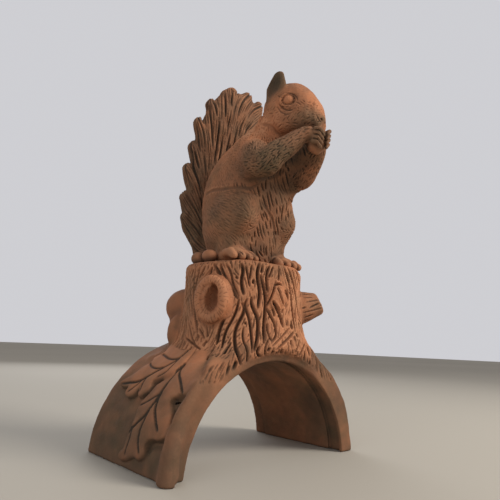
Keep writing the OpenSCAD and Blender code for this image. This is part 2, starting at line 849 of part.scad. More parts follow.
// Tufts curl out of the tail's edges: [side, forward, up, radius] of each, in shares.
tuft_shares = [[0.155, -0.325, 0.17, 0.034], [0.19, -0.35, 0.29, 0.038], [0.205, -0.345, 0.42, 0.038],
    [0.21, -0.31, 0.545, 0.038], [0.215, -0.275, 0.67, 0.038], [0.212, -0.235, 0.8, 0.038],
    [0.19, -0.185, 0.91, 0.036], [0.125, -0.155, 1.02, 0.036]];
tuft_lift_share = 0.07;
module tuft(side, t) {
    hull() {
        translate([side * t[0], -t[1], t[2]] * figure_height)
            sphere(r = t[3] * figure_height, $fn = toe_sides);
        translate([side * (t[0] - tuft_lift_share), -t[1], t[2] - tuft_lift_share] * figure_height)
            sphere(r = t[3] * figure_height, $fn = toe_sides);
    }
}
module tail_form() {
    plume();
    for (t = tuft_shares)
        for (side = [-1, 1])
            tuft(side, t);
}
module tail() {
    color(tail_colour)
        on_stump()
            difference() {
                tail_form();
                torso_form();
                thigh_form(-1);
                thigh_form(1);
                below_top();
            }
}
// Two nuts lie on the rim beside the right foot: [x, forward, up] and [half length, lean] of each.
rim_nut_back_shares = [-0.247, -0.098, 0.034];
rim_nut_front_shares = [-0.25, 0, 0.036];
rim_nut_stretch_share = 0.2;
module rim_nut_form(place) {
    for (k = [-1, 1])
        hull() {
            translate(spot(place) * figure_height + [0, k * rim_nut_stretch_share * rim_nut_width, 0])
                sphere(d = rim_nut_width, $fn = blob_sides);
            translate(spot(place) * figure_height)
                sphere(d = rim_nut_width * (1 + quarter * quarter), $fn = blob_sides);
        }
}
module rim_nut_back() {
    color(detail_colour)
        on_stump()
            difference() {
                rim_nut_form(rim_nut_back_shares);
                thigh_form(-1);
                tail_form();
                torso_form();
                below_top();
            }
}
module rim_nut_front() {
    color(detail_colour)
        on_stump()
            difference() {
                rim_nut_form(rim_nut_front_shares);
                rim_nut_form(rim_nut_back_shares);
                thigh_form(-1);
                foot_form(-1);
                torso_form();
                below_top();
            }
}

// All pieces
ridge_tile();
stump();
knot_large();
knot_swirl();
cut_branch();
healed_burr();
leaf_upper();
leaf_lower();
leaf_far();
rim_nut_back();
rim_nut_front();
torso();
head();
ear_right();
ear_left();
eye_right();
eye_left();
nose();
arm_right();
arm_left();
hand_right();
hand_left();
held_nut();
thigh_right();
thigh_left();
foot_right();
foot_left();
tail();
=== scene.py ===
import json
import bpy
import numpy as np
from mathutils import Matrix, Vector
from mathutils.kdtree import KDTree


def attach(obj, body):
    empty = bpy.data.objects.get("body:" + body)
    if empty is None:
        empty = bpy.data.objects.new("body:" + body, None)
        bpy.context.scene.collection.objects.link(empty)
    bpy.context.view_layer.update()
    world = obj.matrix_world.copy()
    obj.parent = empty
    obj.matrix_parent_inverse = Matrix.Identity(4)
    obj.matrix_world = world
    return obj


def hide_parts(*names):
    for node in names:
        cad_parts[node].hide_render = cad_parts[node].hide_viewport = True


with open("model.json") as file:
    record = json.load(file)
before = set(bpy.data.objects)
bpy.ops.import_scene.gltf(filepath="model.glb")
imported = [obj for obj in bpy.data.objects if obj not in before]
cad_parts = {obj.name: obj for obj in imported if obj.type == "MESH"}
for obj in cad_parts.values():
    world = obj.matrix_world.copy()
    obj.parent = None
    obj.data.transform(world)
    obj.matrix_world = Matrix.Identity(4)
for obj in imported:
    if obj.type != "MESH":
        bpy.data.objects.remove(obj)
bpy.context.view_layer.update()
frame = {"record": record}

# The camera stands low in front of the near left corner of the tile and looks up at the squirrel.
# Its place was worked out from the arch, the two feet and the far end of the tile.
picture_px = 500
focal_px = 474.1
view_turn, view_lift, view_tilt = np.radians((41.5, 11.46, 2.31))
level_ahead = np.array((np.sin(view_turn), np.cos(view_turn), 0))
ahead = level_ahead * np.cos(view_lift) + np.array((0, 0, np.sin(view_lift)))
level = np.array((np.cos(view_turn), -np.sin(view_turn), 0))
upward = np.cross(level, ahead)
across = np.cos(view_tilt) * level + np.sin(view_tilt) * upward
upright = np.cos(view_tilt) * upward - np.sin(view_tilt) * level
camera_spot = (-0.4161, -0.4627, 0.1332)
eyepiece = bpy.data.cameras.new("photo_camera")
eyepiece.sensor_width = 36
eyepiece.lens = focal_px / picture_px * eyepiece.sensor_width
eyepiece.clip_start = 0.02
camera = bpy.data.objects.new("photo_camera", eyepiece)
bpy.context.scene.collection.objects.link(camera)
camera_ways = Matrix(np.array((across, upright, -ahead)).T.tolist()).to_4x4()
camera.matrix_world = Matrix.Translation(camera_spot) @ camera_ways
bpy.context.scene.camera = camera
bpy.context.scene.view_settings.view_transform = "Standard"


# The tile stands on a plain pale shelf under soft lamps. The background is pale only to the
# camera, so the object is lit by the lamps and a dim even sky alone.
def lamp(name, spot, aim, size, watts, tint):
    light = bpy.data.lights.new(name, "AREA")
    light.size = size
    light.energy = watts
    light.color = tint
    holder = bpy.data.objects.new(name, light)
    bpy.context.scene.collection.objects.link(holder)
    holder.location = spot
    holder.rotation_euler = (Vector(aim) - Vector(spot)).to_track_quat("-Z", "Y").to_euler()


lamp("key_lamp", (0.85, -1.35, 1.35), (0, 0, 0.27), 0.9, 35, (1, 0.94, 0.85))
lamp("left_fill", (-1.7, -0.6, 0.9), (0, 0, 0.25), 1.4, 9, (0.86, 0.92, 1))
lamp("back_fill", (0.6, 1.8, 1.2), (0, 0, 0.3), 1.4, 14, (0.95, 0.97, 1))


def pale_sky():
    """a dim warm sky that looks pale to the camera"""
    world = bpy.data.worlds.new("pale_sky")
    bpy.context.scene.world = world
    world.use_nodes = True
    nodes, links = world.node_tree.nodes, world.node_tree.links
    nodes.clear()
    out = nodes.new("ShaderNodeOutputWorld")
    path = nodes.new("ShaderNodeLightPath")
    seen = nodes.new("ShaderNodeMath")
    glint = nodes.new("ShaderNodeMath")
    seen.operation = glint.operation = "MAXIMUM"
    links.new(path.outputs["Is Camera Ray"], seen.inputs[0])
    links.new(path.outputs["Is Glossy Ray"], seen.inputs[1])
    links.new(seen.outputs[0], glint.inputs[0])
    links.new(path.outputs["Is Transmission Ray"], glint.inputs[1])
    dim = nodes.new("ShaderNodeBackground")
    dim.inputs["Color"].default_value = (1, 0.95, 0.88, 1)
    dim.inputs["Strength"].default_value = 0.38
    bright = nodes.new("ShaderNodeBackground")
    bright.inputs["Color"].default_value = (0.62, 0.62, 0.65, 1)
    bright.inputs["Strength"].default_value = 1
    pick = nodes.new("ShaderNodeMixShader")
    links.new(glint.outputs[0], pick.inputs[0])
    links.new(dim.outputs[0], pick.inputs[1])
    links.new(bright.outputs[0], pick.inputs[2])
    links.new(pick.outputs[0], out.inputs[0])


pale_sky()


def shelf():
    """a wide board with matt paint on it"""
    wide = 12.0
    corners = [(-wide, -wide, 0), (wide, -wide, 0), (wide, wide, 0), (-wide, wide, 0)]
    mesh = bpy.data.meshes.new("shelf")
    mesh.from_pydata(corners, [], [(0, 1, 2, 3)])
    board = bpy.data.objects.new("shelf", mesh)
    bpy.context.scene.collection.objects.link(board)
    paint = bpy.data.materials.new("shelf_paint")
    paint.use_nodes = True
    nodes, links = paint.node_tree.nodes, paint.node_tree.links
    shader = nodes["Principled BSDF"]
    shader.inputs["Roughness"].default_value = 0.85
    dust = nodes.new("ShaderNodeTexNoise")
    dust.inputs["Scale"].default_value = 14
    tint = nodes.new("ShaderNodeValToRGB")
    tint.color_ramp.elements[0].color = (0.36, 0.335, 0.295, 1)
    tint.color_ramp.elements[1].color = (0.45, 0.42, 0.375, 1)
    links.new(dust.outputs["Fac"], tint.inputs[0])
    links.new(tint.outputs[0], shader.inputs["Base Color"])
    coat = nodes.new("ShaderNodeTexNoise")
    coat.inputs["Scale"].default_value = 220
    bump = nodes.new("ShaderNodeBump")
    bump.inputs["Strength"].default_value = 0.06
    bump.inputs["Distance"].default_value = 0.001
    links.new(coat.outputs["Fac"], bump.inputs["Height"])
    links.new(bump.outputs[0], shader.inputs["Normal"])
    mesh.materials.append(paint)


shelf()

# Ridge tile: a half-round roof tile with a 23 mm wall, pressed in a mould from red clay and fired.
# Everything on its back was pressed on wet and melts into it, so the tile, the stump and what grows
# on them are shaped in one block of clay and cut apart only where their CAD nodes meet.
mm = 0.001
stump_top = 236.0
near_y, far_y = -50.04, 123.96
trunk_y = 18.96
drop = 9.0
inner_r, wall = 127.32, 23.0
outer_r = inner_r + wall
rebate_depth, rebate_length = 4.0, 24.0
mouth_band = 11.0
apron_stand = 9.3


def melt(a, b, soft):
    """the union of two clay shapes with a fillet about as wide as soft"""
    if soft <= 0:
        return np.minimum(a, b)
    close = np.maximum(soft - np.abs(a - b), 0) / soft
    return np.minimum(a, b) - close * close * soft / 4


def joint(a, b, soft, cell):
    """as melt, but where two lumps lie along each other they don't swell: only the crease is filled"""
    slope_a, slope_b = np.gradient(a, cell), np.gradient(b, cell)
    agree = sum(p * q for p, q in zip(slope_a, slope_b))
    size = np.sqrt(sum(p * p for p in slope_a) * sum(q * q for q in slope_b)) + 1e-4
    width = soft * np.clip(1.1 - agree / size, 0, 1) + 0.01
    close = np.maximum(width - np.abs(a - b), 0) / width
    return np.minimum(a, b) - close * close * width / 4


def between(table, cell, beyond):
    """a table's values at places between its cells: each place is the lower cell and the share past it"""
    total = 0
    for corner in np.ndindex(2, 2, 2):
        share = 1
        for axis, far in enumerate(corner):
            share = share * (beyond[:, axis] if far else 1 - beyond[:, axis])
        i, j, k = [(cell[:, axis] + corner[axis]) % table.shape[axis] for axis in range(3)]
        total = total + share * table[i, j, k]
    return total


class ClayBlock:
    """a block of small cells, each with its depth: how far it is from the clay's skin, below zero inside"""

    def __init__(self, low, high, cell):
        self.cell = cell
        self.axes = [np.arange(lo, hi + cell, cell, dtype=np.float32) for lo, hi in zip(low, high)]
        self.low = np.array([a[0] for a in self.axes])
        self.depth = np.full([len(a) for a in self.axes], 40.0, np.float32)
        self.nearest = self.depth.copy()
        self.owner = np.zeros(self.depth.shape, np.int16)
        self.names = []

    def window(self, low, high):
        cut = []
        for a, lo, hi in zip(self.axes, low, high):
            first = int(max(0, (lo - a[0]) // self.cell))
            cut.append(slice(first, max(first + 1, min(len(a), int((hi - a[0]) // self.cell) + 2))))
        return tuple(cut), np.ix_(*[a[c] for a, c in zip(self.axes, cut)])

    def press(self, name, lump, soft):
        """presses a lump of clay on and remembers which piece each cell is nearest to"""
        if name not in self.names:
            self.names.append(name)
        mine = lump < self.nearest
        self.owner[mine] = self.names.index(name)
        self.nearest = np.minimum(self.nearest, lump)
        self.depth = melt(self.depth, lump, soft)

    def lute(self, name, lump, soft):
        """as press, with a joint that is filled at the crease alone"""
        before = self.depth
        self.press(name, lump, 0)
        reach = lump < 16
        spans = [np.nonzero(reach.any(across))[0] for across in ((1, 2), (0, 2), (0, 1))]
        cut = tuple(slice(s[0], s[-1] + 1) for s in spans)
        self.depth[cut] = joint(before[cut], lump[cut], soft, self.cell)

    def carve(self, lump, soft):
        self.depth = -melt(-self.depth, lump, soft)

    def feel(self, points):
        """the depth at any points, between the cells' middles"""
        place = (points - self.low) / self.cell
        cell = np.clip(np.floor(place).astype(int), 0, np.array(self.depth.shape) - 2)
        return between(self.depth, cell, np.clip(place - cell, 0, 1))

    def facing(self, points):
        """the way out of the clay at any points"""
        steps = self.cell * np.eye(3)
        slope = np.stack([self.feel(points + step) - self.feel(points - step) for step in steps], 1)
        return slope / np.maximum(np.linalg.norm(slope, axis=1, keepdims=True), 1e-6)

    def settle(self, points):
        """draws points onto the skin"""
        for _ in range(2):
            points = points - self.facing(points) * self.feel(points)[:, None]
        return points

    def owner_at(self, points):
        cell = np.rint((points - self.low) / self.cell).astype(int)
        cell = np.clip(cell, 0, np.array(self.depth.shape) - 1)
        return self.owner[cell[:, 0], cell[:, 1], cell[:, 2]]


base_cell = 1.2
base = ClayBlock((-162, near_y - 19, -4), (155, far_y + 4, stump_top + 22), base_cell)
bx, by, bz = np.ix_(*base.axes)
axle_r = np.sqrt(bx ** 2 + (bz + drop) ** 2)
crown_turn = -np.arctan2(bx, bz + drop)


def mottle(points, size, seed, stretch=(1, 1, 1)):
    """smooth random values from -1 to 1 with bumps about that size"""
    table = np.random.default_rng(seed).random((32, 32, 32)).astype(np.float32) * 2 - 1
    place = points / (np.array(stretch) * size) + 101.3
    cell = np.floor(place).astype(int)
    beyond = place - cell
    return between(table, cell, beyond * beyond * (3 - 2 * beyond))


# Oak leaves on the tile's back: thin pads of clay cut to the outline of a leaf, laid over the
# flanks, with the veins drawn in with a point. They are drawn on a map of the back: run is the
# distance from the crown down the flank (above zero on the near flank), along is from the near end.
map_step = 0.8
map_run = np.arange(-246, 246, map_step)
map_along = np.arange(-14, 190, map_step)
run_grid, along_grid = np.meshgrid(map_run, map_along, indexing="ij")
back_map = np.zeros(run_grid.shape)
vein_map = np.zeros(run_grid.shape)
leaf_map = np.zeros(run_grid.shape, np.int16)


def line_gap(line, closed=False):
    """distance of every point of the map from a drawn line, and how far along the line it lies"""
    pts = np.array(line, float)
    if closed:
        pts = np.vstack([pts, pts[:1]])
    best, where = np.full(run_grid.shape, 1e9), np.zeros(run_grid.shape)
    for k, (p, q) in enumerate(zip(pts[:-1], pts[1:])):
        d = q - p
        t = np.clip(((run_grid - p[0]) * d[0] + (along_grid - p[1]) * d[1]) / max(d @ d, 1e-9), 0, 1)
        gap = np.hypot(run_grid - p[0] - t * d[0], along_grid - p[1] - t * d[1])
        near = gap < best
        best[near], where[near] = gap[near], ((k + t) / (len(pts) - 1))[near]
    return best, where


def rounded(line, closed=False, rounds=2):
    """cuts the corners of a drawn line"""
    pts = np.array(line, float)
    for _ in range(rounds):
        follow = np.roll(pts, -1, 0) if closed else pts[1:]
        lead = pts if closed else pts[:-1]
        cut = np.stack([0.75 * lead + 0.25 * follow, 0.25 * lead + 0.75 * follow], 1)
        cut = cut.reshape(-1, pts.shape[1])
        pts = cut if closed else np.vstack([pts[:1], cut, pts[-1:]])
    return pts


def inside_of(line):
    pts = np.array(line, float)
    within = np.zeros(run_grid.shape, bool)
    for p, q in zip(pts, np.roll(pts, -1, 0)):
        if p[1] == q[1]:
            continue
        crosses = (p[1] > along_grid) != (q[1] > along_grid)
        within ^= crosses & (run_grid < (q[0] - p[0]) * (along_grid - p[1]) / (q[1] - p[1]) + p[0])
    return within


def lay_leaf(number, outline, veins, edge, swell, rise, side=1):
    """lays a leaf on the map of the back: edge is its thickness there, swell the extra at its middle"""
    global back_map, vein_map, leaf_map
    outline = rounded(outline, True, 2) * (side, 1)
    gap, _ = line_gap(outline, True)
    within = inside_of(outline)
    inward = np.where(within, gap, -gap)
    lift = edge * np.clip((inward + 1.2) / 2.8, 0, 1) ** 0.6
    lift = lift + swell * (1 - np.exp(-np.maximum(inward, 0) / 9))
    lift = lift + rise * (inward > -1)
    moat = 1.1 * np.exp(-np.maximum(-inward - 1.2, 0) / 3.5)
    back_map = np.where(inward > -1.2, np.maximum(back_map, lift), back_map - moat)
    leaf_map[inward > 0.4] = number
    vein_map[within] = 0
    for vein, width, deep in veins:
        gap, t = line_gap(rounded(vein, False, 2) * (side, 1))
        across = np.clip(1 - (gap / (1.25 * width)) ** 2, 0, 1)
        cut = 1.35 * deep * across * np.clip(6 * (1 - t) + 0.25, 0, 1)
        vein_map = np.where(within, np.maximum(vein_map, cut), vein_map)


lower_leaf = [
    (60, 52), (72, 42), (86, 28), (99, 17), (112, 9), (121, 5), (131, 4), (139, 6), (143, 12),
    (141, 20), (145, 22), (148, 29), (153, 26), (159, 17), (168, 10), (176, 7), (183, 8), (188, 13),
    (191, 21), (191, 30), (193, 38), (198, 40), (205, 37), (211, 41), (214, 50), (211, 57), (217, 70),
    (220, 82), (218, 90), (212, 89), (207, 80), (196, 81), (187, 82), (179, 79), (171, 80), (163, 83),
    (153, 79), (146, 76), (139, 74), (130, 68), (119, 62), (104, 60), (84, 60)]
lower_veins = [
    ([(84, 52), (114, 53), (130, 52), (142, 52), (155, 52), (170, 57), (181, 69), (191, 80),
        (208, 83)], 1.7, 1.6),
    ([(104, 51), (113, 49), (120, 43), (127, 32), (133, 24), (141, 15)], 1.5, 1.5),
    ([(130, 52), (147, 51), (162, 46), (173, 35), (182, 24)], 1.6, 1.7),
    ([(160, 54), (167, 55), (181, 57), (196, 54), (207, 46)], 1.4, 1.4),
    ([(166, 56), (175, 62), (185, 73), (186, 80)], 1.3, 1.2),
    ([(146, 52), (152, 60), (158, 70), (162, 79)], 1.3, 1.1),
    ([(186, 74), (198, 72), (213, 74)], 1.2, 1.0)]
upper_leaf = [
    (56, 64), (69, 54), (84, 51), (98, 51), (107, 52), (114, 54), (122, 58), (127, 68), (130, 78),
    (134, 81), (139, 76), (146, 78), (149, 84), (154, 89), (150, 95), (140, 98), (149, 100),
    (155, 106), (156, 117), (152, 124), (143, 122), (146, 138), (143, 149), (138, 147), (130, 136),
    (123, 129), (115, 128), (109, 121), (104, 120), (99, 126), (92, 119), (84, 115), (77, 119),
    (70, 115), (58, 116), (52, 104), (54, 84)]
upper_veins = [
    ([(60, 58), (69, 58), (87, 63), (103, 69), (113, 77), (121, 87), (130, 96), (138, 108), (141, 130),
        (143, 143)], 1.6, 1.5),
    ([(80, 61), (86, 72), (81, 90), (71, 107)], 1.4, 1.4),
    ([(98, 67), (102, 78), (98, 96), (92, 113)], 1.4, 1.4),
    ([(113, 77), (118, 92), (115, 108), (109, 118)], 1.3, 1.2),
    ([(130, 96), (138, 97), (148, 92)], 1.2, 1.0),
    ([(134, 101), (144, 107), (151, 116)], 1.2, 1.0),
    ([(96, 66), (108, 66), (119, 66), (128, 78)], 1.2, 1.1)]
far_leaf = [
    (58, 40), (72, 30), (86, 24), (98, 14), (108, 11), (114, 18), (112, 27), (120, 30), (133, 17),
    (146, 15), (152, 24), (148, 34), (158, 36), (170, 30), (178, 38), (184, 50), (178, 62), (168, 68),
    (158, 62), (150, 66), (153, 78), (144, 86), (132, 82), (122, 70), (113, 72), (112, 84), (101, 88),
    (92, 80), (84, 68), (70, 62)]
far_veins = [
    ([(62, 50), (90, 49), (120, 50), (150, 50), (180, 50)], 1.6, 1.6),
    ([(84, 49), (94, 36), (106, 17)], 1.4, 1.3),
    ([(84, 49), (92, 66), (101, 82)], 1.4, 1.3),
    ([(112, 50), (128, 38), (146, 21)], 1.4, 1.3),
    ([(112, 50), (128, 64), (143, 80)], 1.4, 1.3),
    ([(142, 50), (158, 58), (170, 64)], 1.2, 1.1),
    ([(142, 50), (158, 44), (172, 36)], 1.2, 1.1)]
lay_leaf(1, lower_leaf, lower_veins, 3.6, 2.2, 0)
lay_leaf(2, upper_leaf, upper_veins, 4.0, 2.6, 3.4)
lay_leaf(3, far_leaf, far_veins, 3.6, 2.2, 0, -1)

# Hollows and roots: four hollows were pressed beside the leaves with a finger, and rounded rolls of
# clay run down the back of the tile from the stump as roots. Each is a line on the map of the back,
# with how wide it is and how deep or high.
finger_hollows = (
    ([(147, 25), (146, 19), (145, 11)], 4.5, 5.5),
    ([(150, 17), (160, 11), (172, 7)], 3.2, 4.5),
    ([(200, 38), (195, 33), (193, 22), (192, 13)], 5.5, 5.0),
    ([(127, 72), (131, 84), (139, 80)], 4.5, 3.0))
for hollow, width, deep in finger_hollows:
    gap, _ = line_gap(rounded(hollow))
    back_map -= np.where(leaf_map == 0, deep * np.exp(-(gap / width) ** 2), 0)
roots = (
    ([(60, 34), (80, 20), (98, 8), (112, 1), (130, -4), (150, -3), (176, 1), (205, 0),
        (240, -2)], 8.5, 5.5),
    ([(74, 28), (96, 12), (110, 2)], 6, 3.5),
    ([(-60, 30), (-82, 16), (-104, 6), (-130, 2), (-160, 0), (-200, -1)], 8, 3.5),
    ([(58, 112), (80, 132), (96, 152)], 8, 2.0),
    ([(-58, 110), (-84, 128), (-100, 150)], 8, 3.0))
for root, width, high in roots:
    gap, t = line_gap(rounded(root))
    swell = high * np.exp(-(gap / width) ** 2) * np.clip(4 * (1 - t), 0, 1)
    back_map += np.where(leaf_map == 0, swell, 0)


def from_map(chart, run, along):
    """reads a map of the back at any places"""
    i = np.clip((run - map_run[0]) / map_step, 0, len(map_run) - 2)
    j = np.clip((along - map_along[0]) / map_step, 0, len(map_along) - 2)
    i0, j0 = np.floor(i).astype(int), np.floor(j).astype(int)
    fi, fj = i - i0, j - j0
    return ((chart[i0, j0] * (1 - fi) + chart[i0 + 1, j0] * fi) * (1 - fj)
        + (chart[i0, j0 + 1] * (1 - fi) + chart[i0 + 1, j0 + 1] * fi) * fj)


back_relief = from_map(back_map, (crown_turn * outer_r + 0 * by), (by - near_y) + 0 * crown_turn)
back_skin = np.exp(-((axle_r - outer_r) / 14) ** 2)
tile_lump = axle_r - outer_r - back_relief * back_skin
end_gap = np.maximum(near_y - by, by - far_y) + 0 * axle_r
tile_lump = -melt(-tile_lump, -end_gap, 7)
tile_lump = np.maximum(tile_lump, -(axle_r - inner_r) - 2)
base.press("ridge_tile", tile_lump, 0)

# Stump: a hollow trunk built up by hand on the crown of the tile, with bark furrows cut by a loop
# tool. Its foot spreads over the back, and an apron of bark hangs over the near end of the tile.
trunk_r = 77.0
foot_spread = np.array([[-0.3, 1.1], [0.03, 1], [0.09, 0.7], [0.16, 0.49], [0.23, 0.33], [0.31, 0.2],
    [0.4, 0.1], [0.5, 0.03], [0.61, 0], [0.73, -0.03], [0.85, -0.02], [0.97, 0.01], [1, 0], [1.2, 0]])
trunk_turn = np.arctan2(by - trunk_y, bx)
side_flare = 0.22 * 2 * trunk_r * (0.62 + 0.38 * np.cos(trunk_turn))
back_high = np.sqrt(np.maximum(outer_r ** 2 - bx ** 2, 1)) - drop
level_share = (bz - back_high) / (stump_top - back_high)
spread = np.interp(level_share, foot_spread[:, 0], foot_spread[:, 1]).astype(np.float32)
wide_x = trunk_r + spread * side_flare
wide_y = trunk_r + spread * 0.09 * 2 * trunk_r * np.where(by > trunk_y, 1, 0.25)
share = np.sqrt((bx / wide_x) ** 2 + ((by - trunk_y) / wide_y) ** 2)
trunk_lump = (share - 1) * np.sqrt(bx ** 2 + (by - trunk_y) ** 2) / np.maximum(share, 0.05)
rim_wave = 1.2 * np.sin(2 * trunk_turn + 0.4) + 1.1 * np.sin(5 * trunk_turn + 1) - 1.2
rim_wave = rim_wave - 2.5 * np.exp(-((trunk_turn + 0.85) / 0.3) ** 2)
rim_wave = rim_wave - 2.0 * np.exp(-((np.mod(trunk_turn, 2 * np.pi) - 3.7) / 0.35) ** 2)
rim_wave = rim_wave * np.clip((np.hypot(bx, by - trunk_y) - 45) / 25, 0, 1)
top_gap = bz - stump_top - rim_wave
trunk_lump = -melt(-trunk_lump, -top_gap, 7)
apron_gap = near_y - apron_stand - by
trunk_lump = -melt(-trunk_lump, -apron_gap, 5)
mouth_gap = (inner_r + mouth_band) - axle_r
trunk_lump = -melt(-trunk_lump, -mouth_gap, 8)
base.press("stump", trunk_lump, 18)


class Lump:
    """a piece of clay worked on its own, with its own axes, before it is pressed on"""

    def __init__(self, block, spot=(0, 0, 0), ways=((1, 0, 0), (0, 1, 0), (0, 0, 1))):
        self.block, self.spot, self.ways = block, np.array(spot, float), np.array(ways, float)
        self.depth = np.full(block.depth.shape, 40.0, np.float32)

    def room(self, low, high):
        ends = np.array([low, high], float)
        corners = np.array([(ends[i, 0], ends[j, 1], ends[k, 2]) for i, j, k in np.ndindex(2, 2, 2)])
        corners = corners @ self.ways + self.spot
        cut, grid = self.block.window(corners.min(0), corners.max(0))
        away = [g - s for g, s in zip(grid, self.spot)]
        own = [sum(w * a for w, a in zip(row, away) if abs(w) > 1e-9) for row in self.ways]
        return cut, own

    def add(self, cut, gap, soft):
        self.depth[cut] = melt(self.depth[cut], gap, soft)

    def merge(self, other, soft):
        if soft < 8:
            self.depth = melt(self.depth, other.depth, soft)
        else:
            self.depth = joint(self.depth, other.depth, soft, self.block.cell)

    def ball(self, middle, radii, soft=0, pad=14):
        middle, radii = np.array(middle, float), np.array(radii, float) * np.ones(3)
        cut, (a, b, c) = self.room(middle - radii - pad, middle + radii + pad)
        a, b, c = a - middle[0], b - middle[1], c - middle[2]
        far = np.sqrt((a / radii[0]) ** 2 + (b / radii[1]) ** 2 + (c / radii[2]) ** 2)
        steep = np.sqrt((a / radii[0] ** 2) ** 2 + (b / radii[1] ** 2) ** 2 + (c / radii[2] ** 2) ** 2)
        self.add(cut, far * (far - 1) / np.maximum(steep, 1e-4), soft)

    def roll(self, balls, steps=5, soft=0):
        """a roll of clay through a list of balls (x, forward, up, radius in each of those ways)"""
        balls = np.array(balls, float)
        for p, q in zip(balls[:-1], balls[1:]):
            for t in np.linspace(0, 1, steps):
                s = p + (q - p) * t
                self.ball(s[:3], s[3:], soft)

    def cord(self, beads, soft=0, pad=14):
        """a round tapering roll through a list of beads (x, forward, up, radius)"""
        beads = np.array(beads, float)
        for p, q in zip(beads[:-1], beads[1:]):
            reach = max(p[3], q[3]) + pad
            cut, (a, b, c) = self.room(np.minimum(p[:3], q[:3]) - reach, np.maximum(p[:3], q[:3]) + reach)
            d = q[:3] - p[:3]
            a, b, c = a - p[0], b - p[1], c - p[2]
            t = np.clip((a * d[0] + b * d[1] + c * d[2]) / max(d @ d, 1e-9), 0, 1)
            gap = np.sqrt((a - t * d[0]) ** 2 + (b - t * d[1]) ** 2 + (c - t * d[2]) ** 2)
            self.add(cut, gap - p[3] - t * (q[3] - p[3]), soft)

    def ring(self, middle, radii, tube, pad=14):
        """an oval ring that lies across the first axis"""
        middle, radii = np.array(middle, float), np.array(radii, float)
        reach = np.array([tube, radii[0] + tube, radii[1] + tube]) + pad
        cut, (a, b, c) = self.room(middle - reach, middle + reach)
        a, b, c = a - middle[0], b - middle[1], c - middle[2]
        far = np.sqrt((b / radii[0]) ** 2 + (c / radii[1]) ** 2)
        flat = (far - 1) * np.sqrt(b ** 2 + c ** 2) / np.maximum(far, 0.05)
        self.add(cut, np.sqrt(flat ** 2 + a ** 2) - tube, 0)


def on_bark(turn, level, block=base):
    """a lump whose first axis points straight out of the bark"""
    turn = np.radians(turn)
    out = (np.cos(turn), np.sin(turn), 0)
    side = (-np.sin(turn), np.cos(turn), 0)
    spot = (trunk_r * np.cos(turn), max(trunk_y + trunk_r * np.sin(turn), near_y - apron_stand), level)
    return Lump(block, spot, (out, side, (0, 0, 1)))


# Large knot: a thick collar of clay round a torn-out hole, smoothed with a wet finger and scored
# with short lines that run out from the hole.
knot_turn, knot_level = 202, 186.4
knot = on_bark(knot_turn, knot_level)
knot.ball((-3, 0, 0), (12, 25, 31))
knot.ring((3.5, 0, 0), (17, 22.5), 6.5)
base.press("knot_large", knot.depth, 3)
dish = on_bark(knot_turn, knot_level)
dish.ball((20, 1, 0), (15, 13.5, 18.5))
base.carve(dish.depth, 5)
hole = on_bark(knot_turn, knot_level)
hole.ball((6, 1, -1), (19, 8.5, 14))
hole.ball((6, 4, 10), (15, 5.5, 8), 3)
base.carve(hole.depth, 2)

# Swirl knot: a healed place in the bark, high on the near face. It is a small lens of smooth clay
# pressed on among the furrows, with a few short curved cuts in it.
swirl_turn, swirl_level = 262, 196.0
swirl = on_bark(swirl_turn, swirl_level)
swirl.ball((-2, 0, -2), (5.5, 12, 18))
base.press("knot_swirl", swirl.depth, 3)

# Cut branch: the stub of a sawn-off branch, on the left side of the trunk. It is a tapered roll of
# clay, cut off at a slant, luted on and scored along its length.
branch_turn, branch_level = 322, 186.4
branch = on_bark(branch_turn, branch_level)
lean = np.radians(14)
straight_out, beside_it, straight_up = branch.ways
branch.ways = np.array([
    straight_out * np.cos(lean) + straight_up * np.sin(lean),
    beside_it,
    straight_up * np.cos(lean) - straight_out * np.sin(lean)])
branch.roll([(-8, 0, 0, 14, 22, 23), (8, 0, 0, 14, 18.5, 20), (22, 0, 0, 14, 14.5, 15.5)], 7)
cut, (a, b, c) = branch.room((-60, -60, -60), (60, 60, 60))
branch.depth[cut] = -melt(-branch.depth[cut], -(a - 29 + 0.22 * c - 0.1 * b), 3)
base.press("cut_branch", branch.depth, 5)

# Healed burr: smooth swellings at the back of the trunk where a branch has healed over. They are
# three balls of clay, pressed on close together and rubbed into the bark with a wet finger.
burr = on_bark(117, 182.9)
burr.ball((5, 0, 0), (31, 26, 26))
burr.ball((3, 2, -26), (25, 20, 20), 8)
burr.ball((0, 30, -36), (14, 16, 24), 10)
base.press("healed_burr", burr.depth, 7)

# Rim nuts: two acorns without their cups, as if the squirrel had dropped them. Each is a small ball
# of clay pressed onto the right-hand rim of the stump, one beside the foot and one behind it.
rim_nut_spots = {
    "rim_nut_back": (-59.5, trunk_y + 22.4, stump_top + 7.2),
    "rim_nut_front": (-60.2, trunk_y - 2, stump_top + 7.8)}
for name, spot in rim_nut_spots.items():
    nut = Lump(base, spot)
    nut.ball((0, 0, 0), (9.2, 10.5, 8.8))
    base.press(name, nut.depth, 1.5)

# Toe and tunnel: at the near right corner the root ends in a toe that spreads on the shelf. The
# tunnel is cleared last, with a wire: the arch, a shallow rebate inside each end and a small lip at
# the near mouth. A chip is broken from the toe.
toe = Lump(base)
toe.cord([
    (-148, near_y - 5, -6, 10),
    (-144, near_y - 3, 24, 7.5),
    (-133, near_y + 1, 56, 5.5),
    (-114, near_y + 4, 90, 3)])
base.press("ridge_tile", toe.depth, 12)
lip_long, lip_high = 5.0, 1.8
tunnel = axle_r - inner_r + 0 * by
for rebate_gap in (near_y + rebate_length - by, by - far_y + rebate_length):
    tunnel = np.minimum(tunnel, np.maximum(axle_r - inner_r - rebate_depth, -rebate_gap))
tunnel = np.where(by < near_y + lip_long, axle_r - inner_r + lip_high, tunnel)
base.carve(tunnel, 2.5)
base.depth = -melt(-base.depth, bz + 0 * base.depth, 3)
chip = Lump(base, (-136, near_y - 12, 2))
